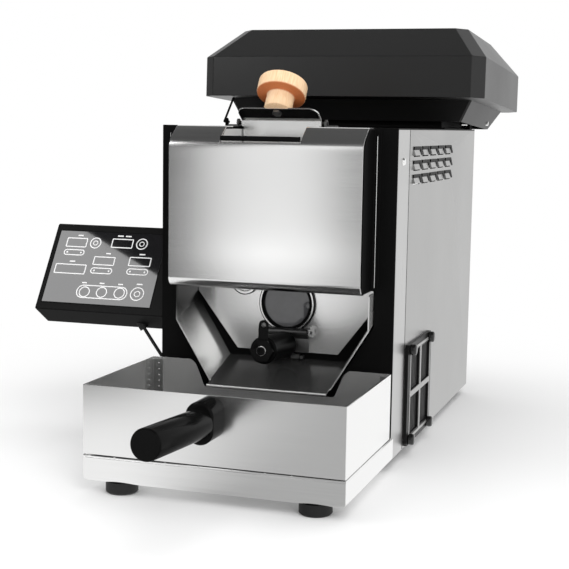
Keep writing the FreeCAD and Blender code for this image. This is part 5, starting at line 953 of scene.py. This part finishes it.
# Left, right, low and high edges of the frames, the pills and the key field, then
# centres of the keys, of the dials with a radius and of the bars with a width.
FRAMES = (
    (15.1, 37.3, 67.6, 77.9), (63.3, 85.9, 68.8, 78.9), (10.1, 43.3, 38.6, 49.2),
    (48.9, 71.6, 49.4, 58.8), (86.3, 109.2, 50.2, 60.1),
)
PILLS = ((14.9, 37.2, 58.7, 65.2), (48.5, 71.6, 40.2, 46.8), (86.4, 109.0, 41.0, 47.8))
KEY_FIELD = (39.7, 93.1, 13.9, 27.9)
KEYS = ((48.3, 20.4), (66.3, 20.9), (84.8, 21.2))
DIALS = ((46.3, 73.1, 6.0), (95.2, 74.2, 6.0), (103.2, 21.4, 7.1))
BARS = (
    (28.6, 80.6, 5.5), (71.0, 81.8, 6.0), (79.5, 81.8, 6.0), (27.0, 52.2, 6.0), (63.0, 62.2, 5.0),
    (98.5, 63.0, 6.0), (46.0, 30.0, 5.0), (64.5, 30.3, 5.0), (84.0, 30.3, 5.0), (103.5, 31.5, 6.0),
)
bm = bmesh.new()
for left, right, low, high in FRAMES:
    outline(bm, left, right, low, high, 1.1, segments=3)
for left, right, low, high in PILLS:
    outline(bm, left, right, low, high, (high - low) * 0.49)
    for across in (left + 3.8, right - 3.8):
        loop(bm, across, (low + high) / 2, 0.9, line=0.0)
outline(bm, *KEY_FIELD, 6.8)
for across, up in KEYS:
    loop(bm, across, up, 5.7)
for across, up, radius in DIALS:
    loop(bm, across, up, radius)
    loop(bm, across, up, radius * 0.45, line=0.0008)
for across, up, width in BARS:
    made = bmesh.ops.create_grid(bm, x_segments=1, y_segments=1, size=0.5)
    bmesh.ops.scale(bm, vec=(width / 1000, 0.0013, 1.0), verts=made["verts"])
    bmesh.ops.translate(bm, vec=(across / 1000, up / 1000, 0.0), verts=made["verts"])
    thicken(bm, PRINT_DEPTH, list({face for vert in made["verts"] for face in vert.link_faces}))
bmesh.ops.transform(bm, matrix=panel_frame, verts=bm.verts)
finished("panel_signs", bm, "roaster", print_white, 40)

# Thin black lead from the gland under the case to the gland in the body.
LEAD_ROUTE = (
    (-0.13704, 0.02053, 0.1101), (-0.1270, 0.02204, 0.0947), (-0.1195, 0.033, 0.076), (-0.113, 0.033, 0.076),
)
LEAD_DIAMETER = 0.0032
lead_curve = bpy.data.curves.new("control_lead", "CURVE")
lead_curve.dimensions = "3D"
lead_curve.bevel_depth = LEAD_DIAMETER / 2
lead_curve.bevel_resolution = 6
lead_curve.resolution_u = 16
lead_curve.use_fill_caps = True
lead_line = lead_curve.splines.new("NURBS")
lead_line.points.add(len(LEAD_ROUTE) - 1)
for point, corner in zip(lead_line.points, LEAD_ROUTE):
    point.co = (*corner, 1.0)
lead_line.order_u = 3
lead_line.use_endpoint_u = True
lead = bpy.data.objects.new("control_lead", lead_curve)
scene.collection.objects.link(lead)
lead_curve.materials.append(rubber)
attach(lead, "roaster")
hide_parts("panel_lead")

# ---------------------------------------------------------------- hood
# Wide folded hood of black powder-coated sheet on a flared neck, hinged on a
# rod at the rear and propped by a bent wire stay; its slotted screen stops chaff.
hood_black = grained("hood_black", (0.012, 0.012, 0.012), 0.36, 2200.0, 0.3, 0.00004, shine=0.4)
neck_black = grained("neck_black", (0.006, 0.006, 0.006), 0.40, 2200.0, 0.3, 0.00004, shine=0.25)
edged_copy("hood_shell", "hood_folded", "hood", hood_black, edge=0.0012, segments=3, angle=10)
edged_copy("hood_neck", "hood_flared_neck", "hood", neck_black)
edged_copy("hood_rod", "hood_hinge_rod", "hood", steel_bright, edge=0.0002)
edged_copy("chaff_screen", "chaff_slotted_screen", "hood", steel_dull, edge=0.0)
edged_copy("hood_hinge_bracket", "hood_bracket", "roaster", powder_black)
edged_copy("exhaust_collar", "exhaust_upstand", "roaster", powder_black)
edged_copy("hood_stay", "hood_wire_stay", "stay", powder_black, edge=0.0)

# ---------------------------------------------------------------- inside
# Rolled steel drum on an axle in a brass bush, turned by a gearmotor, in a sheet
# housing with heater rods below it.
brass = brushed_metal(
    "bush_brass", (300.0, 300.0, 300.0), (0.55, 0.38, 0.15), (0.75, 0.55, 0.28), 0.3, 0.1
)
edged_copy("drum_housing", "housing_sheet", "roaster", powder_black, edge=0.0)
edged_copy("heater", "heater_rods", "roaster", steel_dull, edge=0.0)
edged_copy("drum", "drum_rolled", "drum", steel_dull, edge=0.0)
edged_copy("drum_shaft", "drum_axle", "drum", steel_bright, edge=0.0)
edged_copy("drum_bush", "axle_bush", "roaster", brass, edge=0.0)
edged_copy("drum_motor", "gearmotor", "roaster", powder_black)

# ---------------------------------------------------------------- mains
# Moulded appliance inlet for a loose cord and a rocker switch in its frame, both
# snapped into cut-outs of the rear sheet.
edged_copy("mains_inlet", "appliance_inlet", "roaster", plastic)
edged_copy("switch_frame", "switch_housing", "roaster", plastic)
edged_copy("switch_rocker", "switch_rocker_key", "switch", plastic)
